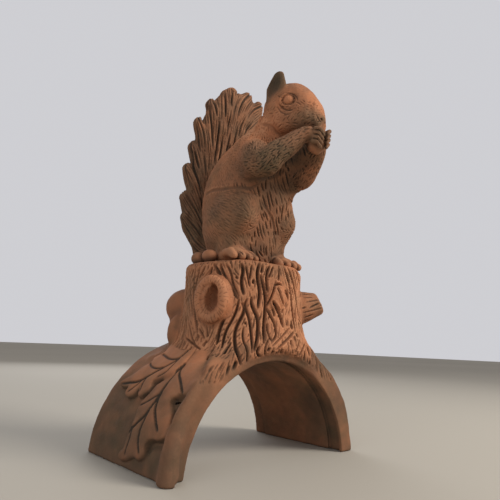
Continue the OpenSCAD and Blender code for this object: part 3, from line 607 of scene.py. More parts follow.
chip.ball((0, 0, 0), (8, 6, 5))
base.carve(chip.depth, 2)


# The skin: the block's clay is turned into one closed skin. It is scored and combed before it is cut
# apart, so that a stroke of the tool runs on over the seam from one piece to the next.
def skin_of(block):
    """the skin of a block as points and four-sided faces, one point in each cell that the skin crosses"""
    d = block.depth
    solid = d < 0
    count = np.zeros([n - 1 for n in d.shape], np.uint8)
    corners = list(np.ndindex(2, 2, 2))
    for i, j, k in corners:
        count += solid[i:i + count.shape[0], j:j + count.shape[1], k:k + count.shape[2]]
    crossed = (count > 0) & (count < 8)
    at = np.argwhere(crossed)
    total, crossings = np.zeros((len(at), 3)), np.zeros(len(at))
    for a in corners:
        for axis in range(3):
            if a[axis]:
                continue
            b = list(a)
            b[axis] = 1
            da = d[at[:, 0] + a[0], at[:, 1] + a[1], at[:, 2] + a[2]].astype(float)
            db = d[at[:, 0] + b[0], at[:, 1] + b[1], at[:, 2] + b[2]].astype(float)
            hit = (da < 0) != (db < 0)
            t = np.where(hit, da / np.where(hit, da - db, 1), 0)
            total[hit] += (np.array(a) + t[:, None] * (np.array(b) - np.array(a)))[hit]
            crossings += hit
    points = block.low + block.cell * (at + total / crossings[:, None])
    number = np.full(crossed.shape, -1, np.int64)
    number[crossed] = np.arange(len(at))
    faces = []
    for axis in range(3):
        u, v = [n for n in range(3) if n != axis]
        first = [slice(None)] * 3
        second = [slice(None)] * 3
        first[axis], second[axis] = slice(0, -1), slice(1, None)
        for n in (u, v):
            first[n] = second[n] = slice(1, -1)
        inner, outer = solid[tuple(first)], solid[tuple(second)]
        for change, flip in ((inner & ~outer, False), (~inner & outer, True)):
            e = np.argwhere(change)
            e[:, u] += 1
            e[:, v] += 1
            ring = []
            for du, dv in ((-1, -1), (0, -1), (0, 0), (-1, 0)):
                c = e.copy()
                c[:, u] += du
                c[:, v] += dv
                ring.append(number[c[:, 0], c[:, 1], c[:, 2]])
            if flip != (axis == 1):
                ring = ring[::-1]
            faces.append(np.stack(ring, 1))
    return points, np.vstack(faces)


def facing_of(points, faces):
    """the way each point of a skin faces"""
    p = points[faces]
    n = np.cross(p[:, 2] - p[:, 0], p[:, 3] - p[:, 1])
    each = faces.ravel()
    out = np.stack([np.bincount(each, np.repeat(n[:, k], 4), len(points)) for k in range(3)], 1)
    return out / np.maximum(np.linalg.norm(out, axis=1, keepdims=True), 1e-9)


class Skin:
    """the skin of a block while it is carved, with the marks that colour it later"""

    def __init__(self, block):
        self.block = block
        self.points, self.faces = skin_of(block)
        self.ways = facing_of(self.points, self.faces)
        self.owner = block.owner_at(self.points - self.ways * 0.6)
        n = len(self.points)
        self.count = np.maximum(np.bincount(self.faces.ravel(), minlength=n), 1)
        self.cut, self.groove, self.crest = [np.zeros(n) for _ in range(3)]

    def of(self, *names):
        return np.isin(self.owner, [self.block.names.index(n) for n in names])

    def blurred(self, mark, rounds):
        """a mark evened out over the neighbours of each point"""
        for _ in range(rounds):
            of_faces = np.repeat(mark[self.faces].mean(1), 4)
            mark = np.bincount(self.faces.ravel(), of_faces, len(mark)) / self.count
        return mark

    def fade(self, where, rounds=5):
        """a mask that fades to nothing at its edges"""
        return np.clip(2 * self.blurred(where.astype(float), rounds) - 1, 0, 1)

    def score(self, mask, beads, wide, deep, lip, dark):
        """cuts a groove under a run of beads, each with its own width and depth, and raises its lips"""
        tree = KDTree(len(beads))
        for k, bead in enumerate(beads):
            tree.insert(bead, k)
        tree.balance()
        who = np.nonzero(mask > 0.02)[0]
        found = [tree.find(p)[1:] for p in self.points[who]]
        index = np.array([f[0] for f in found])
        u = np.array([f[1] for f in found]) / wide[index]
        most = deep[index] * mask[who]
        scored = most * np.maximum(1 - u * u, 0) ** 1.3
        edge = np.exp(-((u - 1.35) / 0.35) ** 2)
        self.cut[who] = np.maximum(self.cut[who], scored) - most * lip * edge
        share = most / deep.max()
        # the cut is painted dark, with grime and painted shade, and its lips pale, with wear and a painted
        # highlight
        soiled_and_shaded = dark * np.clip(share * 1.3, 0, 1) * np.maximum(1 - u * u, 0)
        self.groove[who] = np.maximum(self.groove[who], soiled_and_shaded)
        self.crest[who] = np.maximum(self.crest[who], dark * share * edge)
        return tree

    def draw(self, mask, lines, deep, lip, dark):
        """cuts furrows that are given one by one: each is a width and a run of places"""
        beads, wide, depths = [], [], []
        for width, line in lines:
            pts = rounded(line)
            far = np.concatenate([[0], np.cumsum(np.linalg.norm(np.diff(pts, axis=0), axis=1))])
            at = np.arange(0, far[-1], 0.9)
            taper = np.sqrt(np.clip(5 * np.minimum(at, far[-1] - at) / max(far[-1], 1) + 0.15, 0, 1))
            beads.append(np.stack([np.interp(at, far, pts[:, k]) for k in range(3)], 1))
            wide.append(width / 2 * (0.6 + 0.4 * taper))
            depths.append(deep * taper * min(width / 4, 1.2))
        beads = self.block.settle(np.vstack(beads))
        return self.score(mask, beads, np.concatenate(wide), np.concatenate(depths), lip, dark)

    def comb(self, where, way, gap, length, width, deep, seed,
            sway=0.1, lip=0.12, dark=1.0, clear=None):
        """scores the skin with strokes that follow way, lie gap apart and stay clear of drawn furrows"""
        rng = np.random.default_rng(seed)
        spots = rng.permutation(np.nonzero(where)[0])
        if len(spots) == 0:
            return
        key = np.floor(self.points[spots] / (gap * 0.8) + rng.random(3)).astype(np.int64)
        key = key[:, 0] * 1000003 + key[:, 1] * 1009 + key[:, 2]
        first = rng.permutation(np.unique(key, return_index=True)[1])
        at = self.points[spots[first]]
        n = len(at)
        stretch = length * rng.uniform(0.6, 1.35, n)
        lean = rng.normal(0, sway, n)[:, None]
        step = 2.0
        path = []
        for k in range(int(length * 1.35 / step) + 2):
            out = self.block.facing(at)
            at = at - out * self.block.feel(at)[:, None]
            path += [at] if k == 0 else [(path[-1] + at) / 2, at]
            go = way(at, out)
            go = go - out * (go * out).sum(1)[:, None]
            go = go / np.maximum(np.linalg.norm(go, axis=1, keepdims=True), 1e-6)
            at = at + (go + np.cross(out, go) * lean) * step
        path = np.array(path)
        grain = gap * 0.4
        cells = ((path - self.points.min(0)) / grain + 6).astype(int)
        cells = np.clip(cells, 2, (np.ptp(self.points, axis=0) / grain + 12).astype(int))
        taken = np.zeros(cells.max((0, 1)) + 4, bool)
        around = np.argwhere(np.ones((5, 5, 5), bool)) - 2
        around = around[(around ** 2).sum(1) <= 2]
        beads, shares, hands = [], [], []
        for s in range(n):
            most = int(stretch[s] / step * 2)
            cell = cells[:most, s]
            met = taken[cell[:, 0], cell[:, 1], cell[:, 2]]
            end = int(met.argmax()) if met.any() else len(met)
            if end * step / 2 < max(0.3 * length, gap):
                continue
            spread = (cell[:end, None] + around).reshape(-1, 3)
            taken[spread[:, 0], spread[:, 1], spread[:, 2]] = True
            beads.append(path[:end, s])
            shares.append(np.linspace(0, 1, end))
            hands.append(np.full(end, rng.uniform(0.65, 1.15)))
        if not beads:
            return
        beads, share, hand = np.vstack(beads), np.concatenate(shares), np.concatenate(hands)
        if clear:
            tree, reach = clear
            free = np.array([tree.find(b)[2] > reach for b in beads])
            beads, share, hand = beads[free], share[free], hand[free]
        taper = np.sqrt(np.clip(4 * share * (1.02 - share), 0, 1)) * hand
        return self.score(self.fade(where), beads, width * (0.5 + 0.5 * taper), deep * taper, lip, dark)

    def work(self):
        """cuts the strokes into the skin and finds its hollows"""
        # hollow and nook say how closely the clay shuts in each point; part_out paints grime and painted
        # shade into the hollows and painted shade alone into the nooks
        self.hollow = np.clip(1 - self.block.feel(self.points + self.ways * 7) / 7, 0, 1)
        self.nook_shade = np.clip(1 - self.block.feel(self.points + self.ways * 20) / 20, 0, 1)
        self.points = self.points - self.ways * self.cut[:, None]
        self.ways = facing_of(self.points, self.faces)


base_skin = Skin(base)
P = base_skin.points
turned = -np.arctan2(P[:, 0], P[:, 2] + drop)
over = np.hypot(P[:, 0], P[:, 2] + drop)
run, along = turned * outer_r, P[:, 1] - near_y
on_back = (over > outer_r - 4) & (over < outer_r + 16) & base_skin.of("ridge_tile")
run_cell = np.rint((run - map_run[0]) / map_step).astype(int)
along_cell = np.rint((along - map_along[0]) / map_step).astype(int)
run_cell = np.clip(run_cell, 0, len(map_run) - 1)
along_cell = np.clip(along_cell, 0, len(map_along) - 1)
leaf_here = leaf_map[run_cell, along_cell]
for number, name in ((1, "leaf_lower"), (2, "leaf_upper"), (3, "leaf_far")):
    base.names.append(name)
    base_skin.owner[on_back & (leaf_here == number)] = base.names.index(name)
veins = np.where(on_back, from_map(vein_map, run, along), 0)
base_skin.cut += veins
# the veins are painted dark too, with grime and painted shade
base_skin.groove = np.maximum(base_skin.groove, np.clip(veins / 1.2, 0, 1))

# Bark: long furrows cut with a loop tool, from the rim down and round the knots as the grain of a
# tree runs. Those that show most were drawn one by one, as a width and places on the trunk, each a
# turn round it in degrees and a level. Shorter ones fill the bark between them and behind.
furrows_drawn = (
    (4, (177, 226), (175, 205), (178, 178), (188, 147)), (3, (165, 225), (170, 196), (178, 167)),
    (3, (184, 226), (178, 198)), (3, (191, 227), (184, 213)),
    (5, (201, 229), (205, 221), (215, 204), (225, 188)), (4, (208, 229), (209, 221), (224, 190)),
    (3, (213, 229), (218, 219), (220, 205), (226, 190)),
    (5, (227, 229), (229, 221), (227, 208), (230, 193)), (3, (231, 227), (235, 203)),
    (3, (236, 228), (235, 211)), (5, (243, 232), (241, 216), (245, 197), (243, 178)),
    (5, (245, 216), (251, 190), (249, 160), (248, 137)), (4, (253, 229), (250, 217), (252, 198)),
    (3, (257, 229), (253, 215)), (3, (260, 212), (256, 195), (251, 179)),
    (4, (270, 231), (280, 206), (283, 180), (287, 154)),
    (4, (276, 231), (288, 206), (293, 185), (301, 165)), (3, (282, 231), (293, 205)),
    (3, (288, 231), (306, 213)), (4, (226, 186), (224, 170), (215, 147), (215, 130)),
    (5, (218, 175), (210, 152), (210, 134)),
    (5, (229, 182), (232, 174), (223, 150), (225, 130), (230, 112)),
    (4, (233, 187), (231, 180), (237, 160), (238, 126)),
    (5, (237, 189), (237, 181), (245, 161), (240, 128)), (5, (257, 186), (266, 172), (270, 158)),
    (4, (251, 178), (261, 158), (261, 146), (256, 138)), (3, (252, 160), (252, 147), (257, 138)),
    (3, (253, 143), (249, 131), (251, 122)), (4, (244, 133), (242, 125), (247, 120)),
    (3, (278, 156), (257, 134)), (4, (284, 152), (262, 130)), (3, (291, 143), (286, 127)),
    (4, (298, 139), (292, 124)), (3, (297, 169), (306, 163), (311, 152)),
    (3, (231, 154), (230, 143), (235, 121), (233, 110)), (4, (215, 124), (212, 111), (210, 97)),
    (5, (209, 131), (207, 116), (209, 99)), (3, (190, 151), (197, 140)),
    (3, (173, 159), (181, 141), (189, 132)), (3, (172, 140), (197, 127)),
    (3, (262, 200), (265, 191), (269, 183)), (4, (258, 206), (262, 209), (267, 207)),
    (3, (261, 203), (264, 196)), (3, (269, 203), (270, 196)))


def on_trunk(places):
    """the outermost clay at turns round the trunk and levels"""
    places = np.array(places, float)
    turn, reach = np.radians(places[:, 0]), np.arange(150, 55, -0.5)
    spots = np.stack([
        reach * np.cos(turn)[:, None],
        trunk_y + reach * np.sin(turn)[:, None],
        places[:, 1, None] + 0 * reach], 2)
    deep = base.feel(spots.reshape(-1, 3)).reshape(spots.shape[:2])
    return spots[np.arange(len(turn)), (deep < 0).argmax(1)]


stones = (
    (knot_turn, knot_level, 33),
    (swirl_turn, swirl_level - 2, 16),
    (branch_turn, branch_level, 24))


def bark_way(at, out):
    """down the trunk, parting round the knots as water round a stone"""
    down = np.zeros_like(at)
    down[:, 2] = -1
    turn = np.arctan2(at[:, 1] - trunk_y, at[:, 0])
    side = np.stack([-np.sin(turn), np.cos(turn), np.zeros(len(at))], 1)
    weave = 0.42 * mottle(at, 13, 5, (1, 1, 1.5))
    weave -= 0.55 * np.clip((175 - at[:, 2]) / 60, 0, 1) * -np.cos(turn)
    for turn_at, level, size in stones:
        p = np.angle(np.exp(1j * (turn - np.radians(turn_at)))) * trunk_r
        q = at[:, 2] - level
        rho = np.maximum(np.hypot(p, q), size)
        weave += size ** 2 * 2 * p * q / rho ** 4 * 1.15
    return down + side * np.clip(weave, -1.1, 1.1)[:, None]


not_level = np.abs(base_skin.ways[:, 2]) < 0.93
bark_side = base_skin.of("stump") & not_level & (over > inner_r + mouth_band - 4)
round_trunk = (over > outer_r - 2) & (np.hypot(P[:, 0], P[:, 1] - trunk_y) < 104)
near_face = (P[:, 1] < near_y + 2) & (P[:, 2] > 92) & (over > inner_r + 6)
bark_side |= base_skin.of("ridge_tile") & (round_trunk | near_face)
from_hole = (P - knot.spot) @ knot.ways.T / (26, 16, 22)
bark_side &= np.linalg.norm(from_hole, axis=1) > 1
bark_mask = base_skin.fade(bark_side | base_skin.of("knot_swirl"), 4)
furrows = [(width + 0.2, on_trunk(line)) for width, *line in furrows_drawn]
drawn = base_skin.draw(bark_mask, furrows, 4.8, 0.3, 1)
base_skin.comb(bark_side, bark_way, 7.0, 46, 2.2, 4.2, 11, 0.05, 0.3, 1, (drawn, 5.0))
base_skin.comb(bark_side, bark_way, 3.4, 17, 1.2, 1.5, 12, 0.12, 0.3, 0.8, (drawn, 2.6))


def from_knot(at, out):
    return at - (knot.spot + np.array((0, 0, 1.0)))


def along_branch(at, out):
    return np.broadcast_to(branch.ways[0], at.shape)


base_skin.comb(base_skin.of("knot_large"), from_knot, 3.0, 14, 0.9, 0.9, 13, 0.05, 0.1, 0.6)
base_skin.comb(base_skin.of("cut_branch"), along_branch, 5.5, 26, 1.5, 2.2, 14, 0.08)
flat_clay = base_skin.of("ridge_tile", "leaf_lower", "leaf_upper", "leaf_far")
uneven_hand = np.where(flat_clay, 0.45 * mottle(P, 11, 21), 0.3 * mottle(P, 8, 22))
base_skin.cut += uneven_hand + 0.16 * mottle(P, 3.1, 23)
base_skin.work()

# Fired clay: red-brown, unglazed and dusty. Grime and painted shade lie in the cuts and hollows,
# painted shade in the deep nooks, the high places are rubbed back to clean orange, and the lips of
# the cuts carry a painted highlight. Each kind of piece has its own mix of the same clay.
clay_colours = {
    "orange": (0.46, 0.18, 0.085),
    "brown": (0.2, 0.097, 0.056),
    "grime_and_shade": (0.045, 0.032, 0.022),
    "pale": (0.62, 0.31, 0.17),
    "olive": (0.112, 0.084, 0.046)}


def feed(links, socket, value):
    """puts a link or a constant on a shader's socket"""
    if hasattr(value, "is_output"):
        links.new(value, socket)
    elif isinstance(value, tuple):
        socket.default_value = (*value, 1)
    else:
        socket.default_value = value


def mixed(nodes, links, share, first, second):
    """the first colour where share is 0 and the second where it is 1"""
    blend = nodes.new("ShaderNodeMix")
    blend.data_type = "RGBA"
    blend.clamp_factor = True
    for number, value in ((0, share), (6, first), (7, second)):
        feed(links, blend.inputs[number], value)
    return blend.outputs[2]


def sums(nodes, links, kind, *values):
    """one step of arithmetic on shader values"""
    step = nodes.new("ShaderNodeMath")
    step.operation = kind
    for socket, value in zip(step.inputs, values):
        feed(links, socket, value)
    return step.outputs[0]


def fired_clay(name, blotch_size, rough_low, rough_high, grain):
    """clay that takes its tone, grime, wear and painted light and shade from the marks of the carving"""
    clay = bpy.data.materials.new(name)
    clay.use_nodes = True
    nodes, links = clay.node_tree.nodes, clay.node_tree.links
    shader = nodes["Principled BSDF"]
    carved = []
    for layer in ("clay_marks", "clay_wear_and_shading"):
        marks = nodes.new("ShaderNodeAttribute")
        marks.attribute_name = layer
        split = nodes.new("ShaderNodeSeparateColor")
        links.new(marks.outputs["Color"], split.inputs[0])
        carved += split.outputs
    groove, tone, dirt, rub, olive = carved[:5]
    place = nodes.new("ShaderNodeTexCoord").outputs["Object"]
    blotch, speck, fine = [nodes.new("ShaderNodeTexNoise") for _ in range(3)]
    for tex, scale, detail in ((blotch, 1 / blotch_size, 4), (speck, 420, 3), (fine, 1500, 2)):
        tex.inputs["Scale"].default_value = scale
        tex.inputs["Detail"].default_value = detail
        links.new(place, tex.inputs["Vector"])
    uneven = sums(nodes, links, "MULTIPLY_ADD", blotch.outputs["Fac"], 1.5, -0.75)
    spotty = sums(nodes, links, "MULTIPLY_ADD", speck.outputs["Fac"], 0.9, -0.45)
    # the tone is the clay's own firing tone, with painted shade in the deep nooks and painted light and
    # shade from the lips of the cuts and some stains
    fired_tone_and_shading = sums(nodes, links, "ADD", tone, uneven)
    colour = mixed(nodes, links, fired_tone_and_shading, clay_colours["brown"], clay_colours["orange"])
    mossy = sums(nodes, links, "MULTIPLY_ADD", uneven, olive, olive)
    colour = mixed(nodes, links, mossy, colour, clay_colours["olive"])
    # pale: rubbed wear, with a painted highlight on the lips of the cuts and painted light on the
    # squirrel's neck
    rubbed = sums(nodes, links, "MULTIPLY_ADD", spotty, 0.7, rub)
    colour = mixed(nodes, links, rubbed, colour, clay_colours["pale"])
    # grime colour: dust and dirt, and painted shade in the cuts and hollows
    dust_and_shade = sums(nodes, links, "MULTIPLY_ADD", spotty, 0.55, dirt)
    soiled_and_shaded = sums(nodes, links, "MULTIPLY_ADD", groove, 0.82, dust_and_shade)
    colour = mixed(nodes, links, soiled_and_shaded, colour, clay_colours["grime_and_shade"])
    links.new(colour, shader.inputs["Base Color"])
    rough = nodes.new("ShaderNodeMapRange")
    rough.inputs["To Min"].default_value = rough_low
    rough.inputs["To Max"].default_value = rough_high
    links.new(speck.outputs["Fac"], rough.inputs["Value"])
    links.new(rough.outputs[0], shader.inputs["Roughness"])
    shader.inputs["Specular IOR Level"].default_value = 0.25
    height = sums(nodes, links, "MULTIPLY_ADD", fine.outputs["Fac"], 0.35, speck.outputs["Fac"])
    bump = nodes.new("ShaderNodeBump")
    bump.inputs["Strength"].default_value = grain
    bump.inputs["Distance"].default_value = 0.0006
    links.new(height, bump.inputs["Height"])
    links.new(bump.outputs[0], shader.inputs["Normal"])
    return clay


clays = {
    "tile_clay": fired_clay("weathered_tile_clay", 0.045, 0.78, 0.94, 0.5),
    "bark_clay": fired_clay("carved_bark_clay", 0.03, 0.76, 0.95, 0.6),
    "fur_clay": fired_clay("combed_fur_clay", 0.028, 0.8, 0.96, 0.6),
    "tail_clay": fired_clay("combed_tail_clay", 0.022, 0.8, 0.96, 0.6),
    "detail_clay": fired_clay("rubbed_orange_clay", 0.03, 0.68, 0.9, 0.35)}
slot_of = {s["node"]: s["material_slot"] for s in frame["record"]["subparts"]}


def loops_round(faces):
    """the open edges of a patch, as loops of points"""
    a, b = faces.ravel(), np.roll(faces, -1, 1).ravel()
    size = int(faces.max()) + 1
    lone = ~np.isin(a * size + b, b * size + a)
    follow = {}
    for p, q in zip(a[lone].tolist(), b[lone].tolist()):
        follow.setdefault(p, []).append(q)
    loops = []
    while follow:
        first = at = next(iter(follow))
        loop = []
        while at in follow:
            loop.append(at)
            nexts = follow[at]
            to = nexts.pop()
            if not nexts:
                del follow[at]
            at = to
            if at == first:
                break
        loops.append(loop)
    return loops


def finish_piece(skin, node, faces_kept):
    """cuts one piece out of a skin, closes it inside the clay and makes it a solid of its own"""
    faces = skin.faces[faces_kept]
    used, inverse = np.unique(faces, return_inverse=True)
    faces = inverse.reshape(-1, 4)
    points, ways = skin.points[used], skin.ways[used]
    caps, skirts, extra, beside = [], [], [], []
    core = np.array((0, trunk_y, 190.0))
    for loop in loops_round(faces):
        if len(loop) < 3:
            continue
        push = np.full((len(loop), 1), 4.5 if len(loop) > 12 else 1.0)
        for _ in range(4):
            bare = skin.block.feel(points[loop] - ways[loop] * push) > -0.3 * push[:, 0]
            push[bare] *= 0.6
        rim = points[loop] - ways[loop] * push
        middle, out = rim.mean(0), ways[loop].mean(0)
        out = out / max(np.linalg.norm(out), 1e-6)
        tries = [middle + out * k for k in (0, -4, 4, -8, 8, -14, 14)]
        tries += [middle + (core - middle) * k for k in (0.2, 0.4, 0.6, 0.8, 1)]
        some = rim[::max(1, len(rim) // 40)]
        worst = []
        for peak in tries:
            on_lines = [some + (peak - some) * k for k in (0.15, 0.3, 0.5, 0.7, 0.85, 1)]
            worst.append(max(skin.block.feel(spots).max() for spots in on_lines))
        pick = next((k for k, w in enumerate(worst) if w < -1), int(np.argmin(worst)))
        start = len(points) + len(extra)
        extra += list(rim) + [tries[pick]]
        beside += loop + [loop[0]]
        inner = list(range(start, start + len(rim)))
        for p, q, p_in, q_in in zip(loop, loop[1:] + loop[:1], inner, inner[1:] + inner[:1]):
            skirts.append((q, p, p_in, q_in))
            caps.append((q_in, p_in, start + len(rim)))
    source = used[np.arange(len(points)).tolist() + beside]
    if extra:
        points = np.vstack([points, extra])
        ways = np.vstack([ways, np.tile((0, 0, 1), (len(extra), 1))])
        faces = np.vstack([faces, np.array(skirts)])
    mesh = bpy.data.meshes.new(node + "_clay")
    mesh.vertices.add(len(points))
    mesh.vertices.foreach_set("co", (points * mm).astype(np.float32).ravel())
    corners = np.concatenate([faces.ravel(), np.array(caps, np.int64).ravel()]).astype(np.int32)
    cap_starts = len(faces) * 4 + np.arange(len(caps)) * 3
    starts = np.concatenate([np.arange(len(faces)) * 4, cap_starts]).astype(np.int32)
    mesh.loops.add(len(corners))
    mesh.loops.foreach_set("vertex_index", corners)
    mesh.polygons.add(len(starts))
    mesh.polygons.foreach_set("loop_start", starts)
    mesh.update(calc_edges=True)
    layers = {
        "clay_marks": (skin.groove, skin.tone, skin.dirt),
        "clay_wear_and_shading": (skin.rub, skin.olive, skin.dirt)}
    for name, marks in layers.items():
        data = np.ones((len(points), 4), np.float32)
        for k, mark in enumerate(marks):
            data[:, k] = mark[source]
        layer = mesh.attributes.new(name, "FLOAT_COLOR", "POINT")
        layer.data.foreach_set("color", data.ravel())
    mesh.polygons.foreach_set("use_smooth", np.ones(len(starts), bool))
    mesh.normals_split_custom_set_from_vertices(ways.tolist())
    piece = bpy.data.objects.new(node + "_clay", mesh)
    bpy.context.scene.collection.objects.link(piece)
    mesh.materials.append(clays[slot_of[node]])
    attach(piece, "root")
    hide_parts(node)


def part_out(skin, tones, stains_and_shading=()):
    """colours a finished skin and cuts it into one piece for each CAD node"""
    P = skin.points
    tone, dirt, rub, olive = [np.zeros(len(P)) for _ in range(4)]
    for name, amounts in tones.items():
        who = skin.of(name)
        for mark, amount in zip((tone, dirt, rub, olive), amounts):
            mark[who] = amount
    tone, dirt, rub, olive = [skin.blurred(mark, 7) for mark in (tone, dirt, rub, olive)]
    for spot, size, amounts in stains_and_shading:
        far = np.linalg.norm((P - np.array(spot)) / np.array(size), axis=1)
        near = np.exp(-(far ** 2)) * (1 + 0.5 * mottle(P, 12, 34))
        for mark, amount in zip((tone, dirt, rub, olive), amounts):
            mark += amount * near
    # painted shade darkens the deep nooks, and the lips of the cuts get wear and a painted highlight
    tone += 0.2 * mottle(P, 26, 31) + 0.14 * mottle(P, 7, 37) - 0.35 * skin.nook_shade + 0.4 * skin.crest
    # grime and painted shade fill the hollows, and the cuts and hollows are not rubbed pale
    dirt += 0.55 * np.clip(skin.hollow - 0.12, 0, 1) + 0.10 * mottle(P, 17, 32)
    rub += 0.1 * mottle(P, 9, 33) + 0.4 * skin.crest - 0.8 * skin.groove - skin.hollow
    olive += 0.22 * mottle(P, 15, 35) + 0.12 * mottle(P, 6, 36)
    skin.tone, skin.dirt = tone, np.clip(dirt, 0, 0.9)
    skin.rub, skin.olive = np.clip(rub, 0, 0.7), np.clip(olive, 0, 0.85)
    owner = skin.owner[skin.faces]
    first_agrees = (owner[:, 0] == owner[:, 1]) | (owner[:, 0] == owner[:, 2])
    face_owner = np.where(first_agrees, owner[:, 0], owner[:, 3])
    for name in skin.block.names:
        mine = face_owner == skin.block.names.index(name)
        if mine.sum() > 8:
            finish_piece(skin, name, mine)


# How light, dirty, rubbed and mossy each piece is, and the stains that the weather has left, with
# painted shade among them: where each one lies, how far it reaches each way and what it adds to those four.
base_tones = {
    "ridge_tile": (0.42, 0.12, 0.0, 0.18),
    "stump": (0.92, 0.03, 0.2, 0.05),
    "knot_large": (1.0, 0.0, 0.18, 0),
    "knot_swirl": (1.0, 0.0, 0.1, 0),
    "cut_branch": (0.8, 0.05, 0.1, 0),
    "healed_burr": (0.5, 0.05, 0, 0.05),
    "leaf_upper": (0.85, 0.02, 0.12, 0),
    "leaf_lower": (0.66, 0.05, 0.05, 0.05),
    "leaf_far": (0.6, 0.06, 0.03, 0.05),
    "rim_nut_back": (0.75, 0.1, 0.1, 0.15),
    "rim_nut_front": (0.75, 0.1, 0.1, 0.15)}
base_stains_and_shading = [
    # grime and painted shade over the left end of the tile
    ((-150, 70, 50), (40, 70, 100), (-0.4, 0.34, 0, 0.32)),
    ((-70, 40, 190), (30, 30, 60), (-0.25, 0.12, 0, 0.25)),
    ((112, -20, 60), (26, 34, 60), (-0.2, 0.4, 0, 0.3)),
    ((40, 0, 118), (80, 60, 16), (-0.2, 0.4, 0, 0.2)),
    ((-138, -30, 10), (26, 40, 30), (-0.2, 0.32, 0, 0.35)),
    ((-116, -20, 70), (22, 26, 22), (-0.2, 0.2, 0, 0.3)),
    ((15, -58, 150), (34, 20, 26), (0.1, -0.05, 0.05, 0)),
    ((30, -58, 200), (34, 24, 26), (0.25, -0.05, 0.12, 0)),
    ((70, -50, 196), (24, 40, 40), (-0.2, 0.1, 0, 0.25)),
    ((-20, -56, 224), (40, 20, 12), (-0.15, 0.1, 0, 0.2)),
    ((-70, -35, 118), (40, 20, 30), (0.05, 0.05, 0.1, 0.15)),
    ((-145, -52, 20), (12, 12, 24), (0.25, 0, 0.1, 0)),
    # dirt and painted shade low on the right end of the near face
    ((145, -40, 30), (22, 30, 50), (-0.15, 0.14, 0, 0.2))]
part_out(base_skin, base_tones, base_stains_and_shading)

# Tail: a broad plume raised behind the back, built on the figure as a thick slab and combed with
# a toothed tool into long strands that sweep up and out and end in curled tufts.
fur_cell = 1.0
figure_ways = ((1, 0, 0), (0, -1, 0), (0, 0, 1))
figure_spot = (0, trunk_y, stump_top)


def smooth_line(stations, steps):
    """stations with smooth ones put in between"""
    s = np.array(stations, float)
    out = []
    for i in range(len(s) - 1):
        a, b, c, d = s[max(i - 1, 0)], s[i], s[i + 1], s[min(i + 2, len(s) - 1)]
        bend, twist = a - 2.5 * b + 2 * c - 0.5 * d, 1.5 * b - 1.5 * c + 0.5 * d - 0.5 * a
        for t in np.arange(steps) / steps:
            out.append(b + 0.5 * t * (c - a) + t * t * bend + t ** 3 * twist)
    return np.array(out + [s[-1]])


def slab(lump, stations, steps=4, pad=14):
    """a flattened roll: stations are x, forward, up, half thickness in the middle plane, half width"""
    line = smooth_line(stations, steps)
    for p, q in zip(line[:-1], line[1:]):
        reach = np.array([max(p[4], q[4]), max(p[3], q[3]), max(p[3], q[3])]) + pad
        cut, (x, f, u) = lump.room(np.minimum(p[:3], q[:3]) - reach, np.maximum(p[:3], q[:3]) + reach)
        d = q[1:3] - p[1:3]
        long = max(np.hypot(*d), 1e-6)
        d = d / long
        raw = ((f - p[1]) * d[0] + (u - p[2]) * d[1]) / long
        t = np.clip(raw, 0, 1)
        beyond = (raw - t) * long
        beside = (f - p[1]) * d[1] - (u - p[2]) * d[0]
        thick, broad = p[3] + t * (q[3] - p[3]), p[4] + t * (q[4] - p[4])
        x = x - p[0] - t * (q[0] - p[0])
        far = np.sqrt((beside / thick) ** 2 + (x / broad) ** 2 + (beyond / thick) ** 2)
        steep = np.sqrt((beside / thick ** 2) ** 2 + (x / broad ** 2) ** 2 + (beyond / thick ** 2) ** 2)
        lump.add(cut, far * (far - 1) / np.maximum(steep, 1e-4), 0)


tail_line = [
    (0, -46, 22, 9, 16), (0, -62, 22, 12, 20), (0, -76, 34, 14, 28), (0, -84, 64, 16, 40),
    (0, -86, 93, 17, 45), (0, -81, 121, 17, 46), (0, -73, 154, 18, 47), (0, -64, 190, 18, 47),
    (0, -54, 219, 17, 45), (3, -46, 243, 15.5, 41), (7, -39, 260, 12, 35), (10, -36, 267, 9, 28)]
tail_block = ClayBlock((-68, trunk_y + 8, stump_top - 4), (74, far_y + 3, stump_top + 292), fur_cell)
tail = Lump(tail_block, figure_spot, figure_ways)
slab(tail, tail_line)
# the tufts down both edges: which side, how far forward, how high, how far out, how tall
tufts = [
    (-1, -80, 38, 27, 12), (-1, -88, 74, 43, 14), (-1, -88, 103, 47, 14), (-1, -81, 144, 50, 15),
    (-1, -73, 177, 48, 14), (-1, -60, 210, 50, 14), (-1, -49, 240, 38, 12),
    (1, -46, 246, 45, 13), (1, -56, 214, 51, 15), (1, -67, 181, 50, 15), (1, -77, 149, 50, 15),
    (1, -84, 117, 49, 15), (1, -88, 85, 46, 14), (1, -84, 50, 34, 13)]
for side, f, u, out, size in tufts:
    tuft = Lump(tail_block, figure_spot, figure_ways)
    tuft.roll([
        (side * (out - 24), f, u - 26, 9, 11, size),
        (side * (out - 8), f - 1, u - 7, 8, 10.5, size),
        (side * (out + 1), f + 1, u + 5, 5.5, 8, size * 0.6),
        (side * (out + 0.5), f + 3, u + 11, 3.5, 5, 4)], 6)
    tail.merge(tuft, 4)
# the lobes along the top
for x, u, size in ((-13, 269, 14), (18, 273, 14), (42, 267, 13)):
    lobe = Lump(tail_block, figure_spot, figure_ways)
    lobe.roll([
        (x * 0.8 + 1, -43, u - 30, size + 3, 12, 18),
        (x, -37, u - 6, size, 9, 12),
        (x + 3, -33, u + 3, size * 0.6, 6, 7)], 5)
    tail.merge(lobe, 4)
tail_block.press("tail", tail.depth, 0)
floor_gap = np.ix_(*tail_block.axes)[2] - (stump_top + 0.3) + 0 * tail_block.depth
tail_block.depth = -melt(-tail_block.depth, floor_gap, 2)
tail_skin = Skin(tail_block)


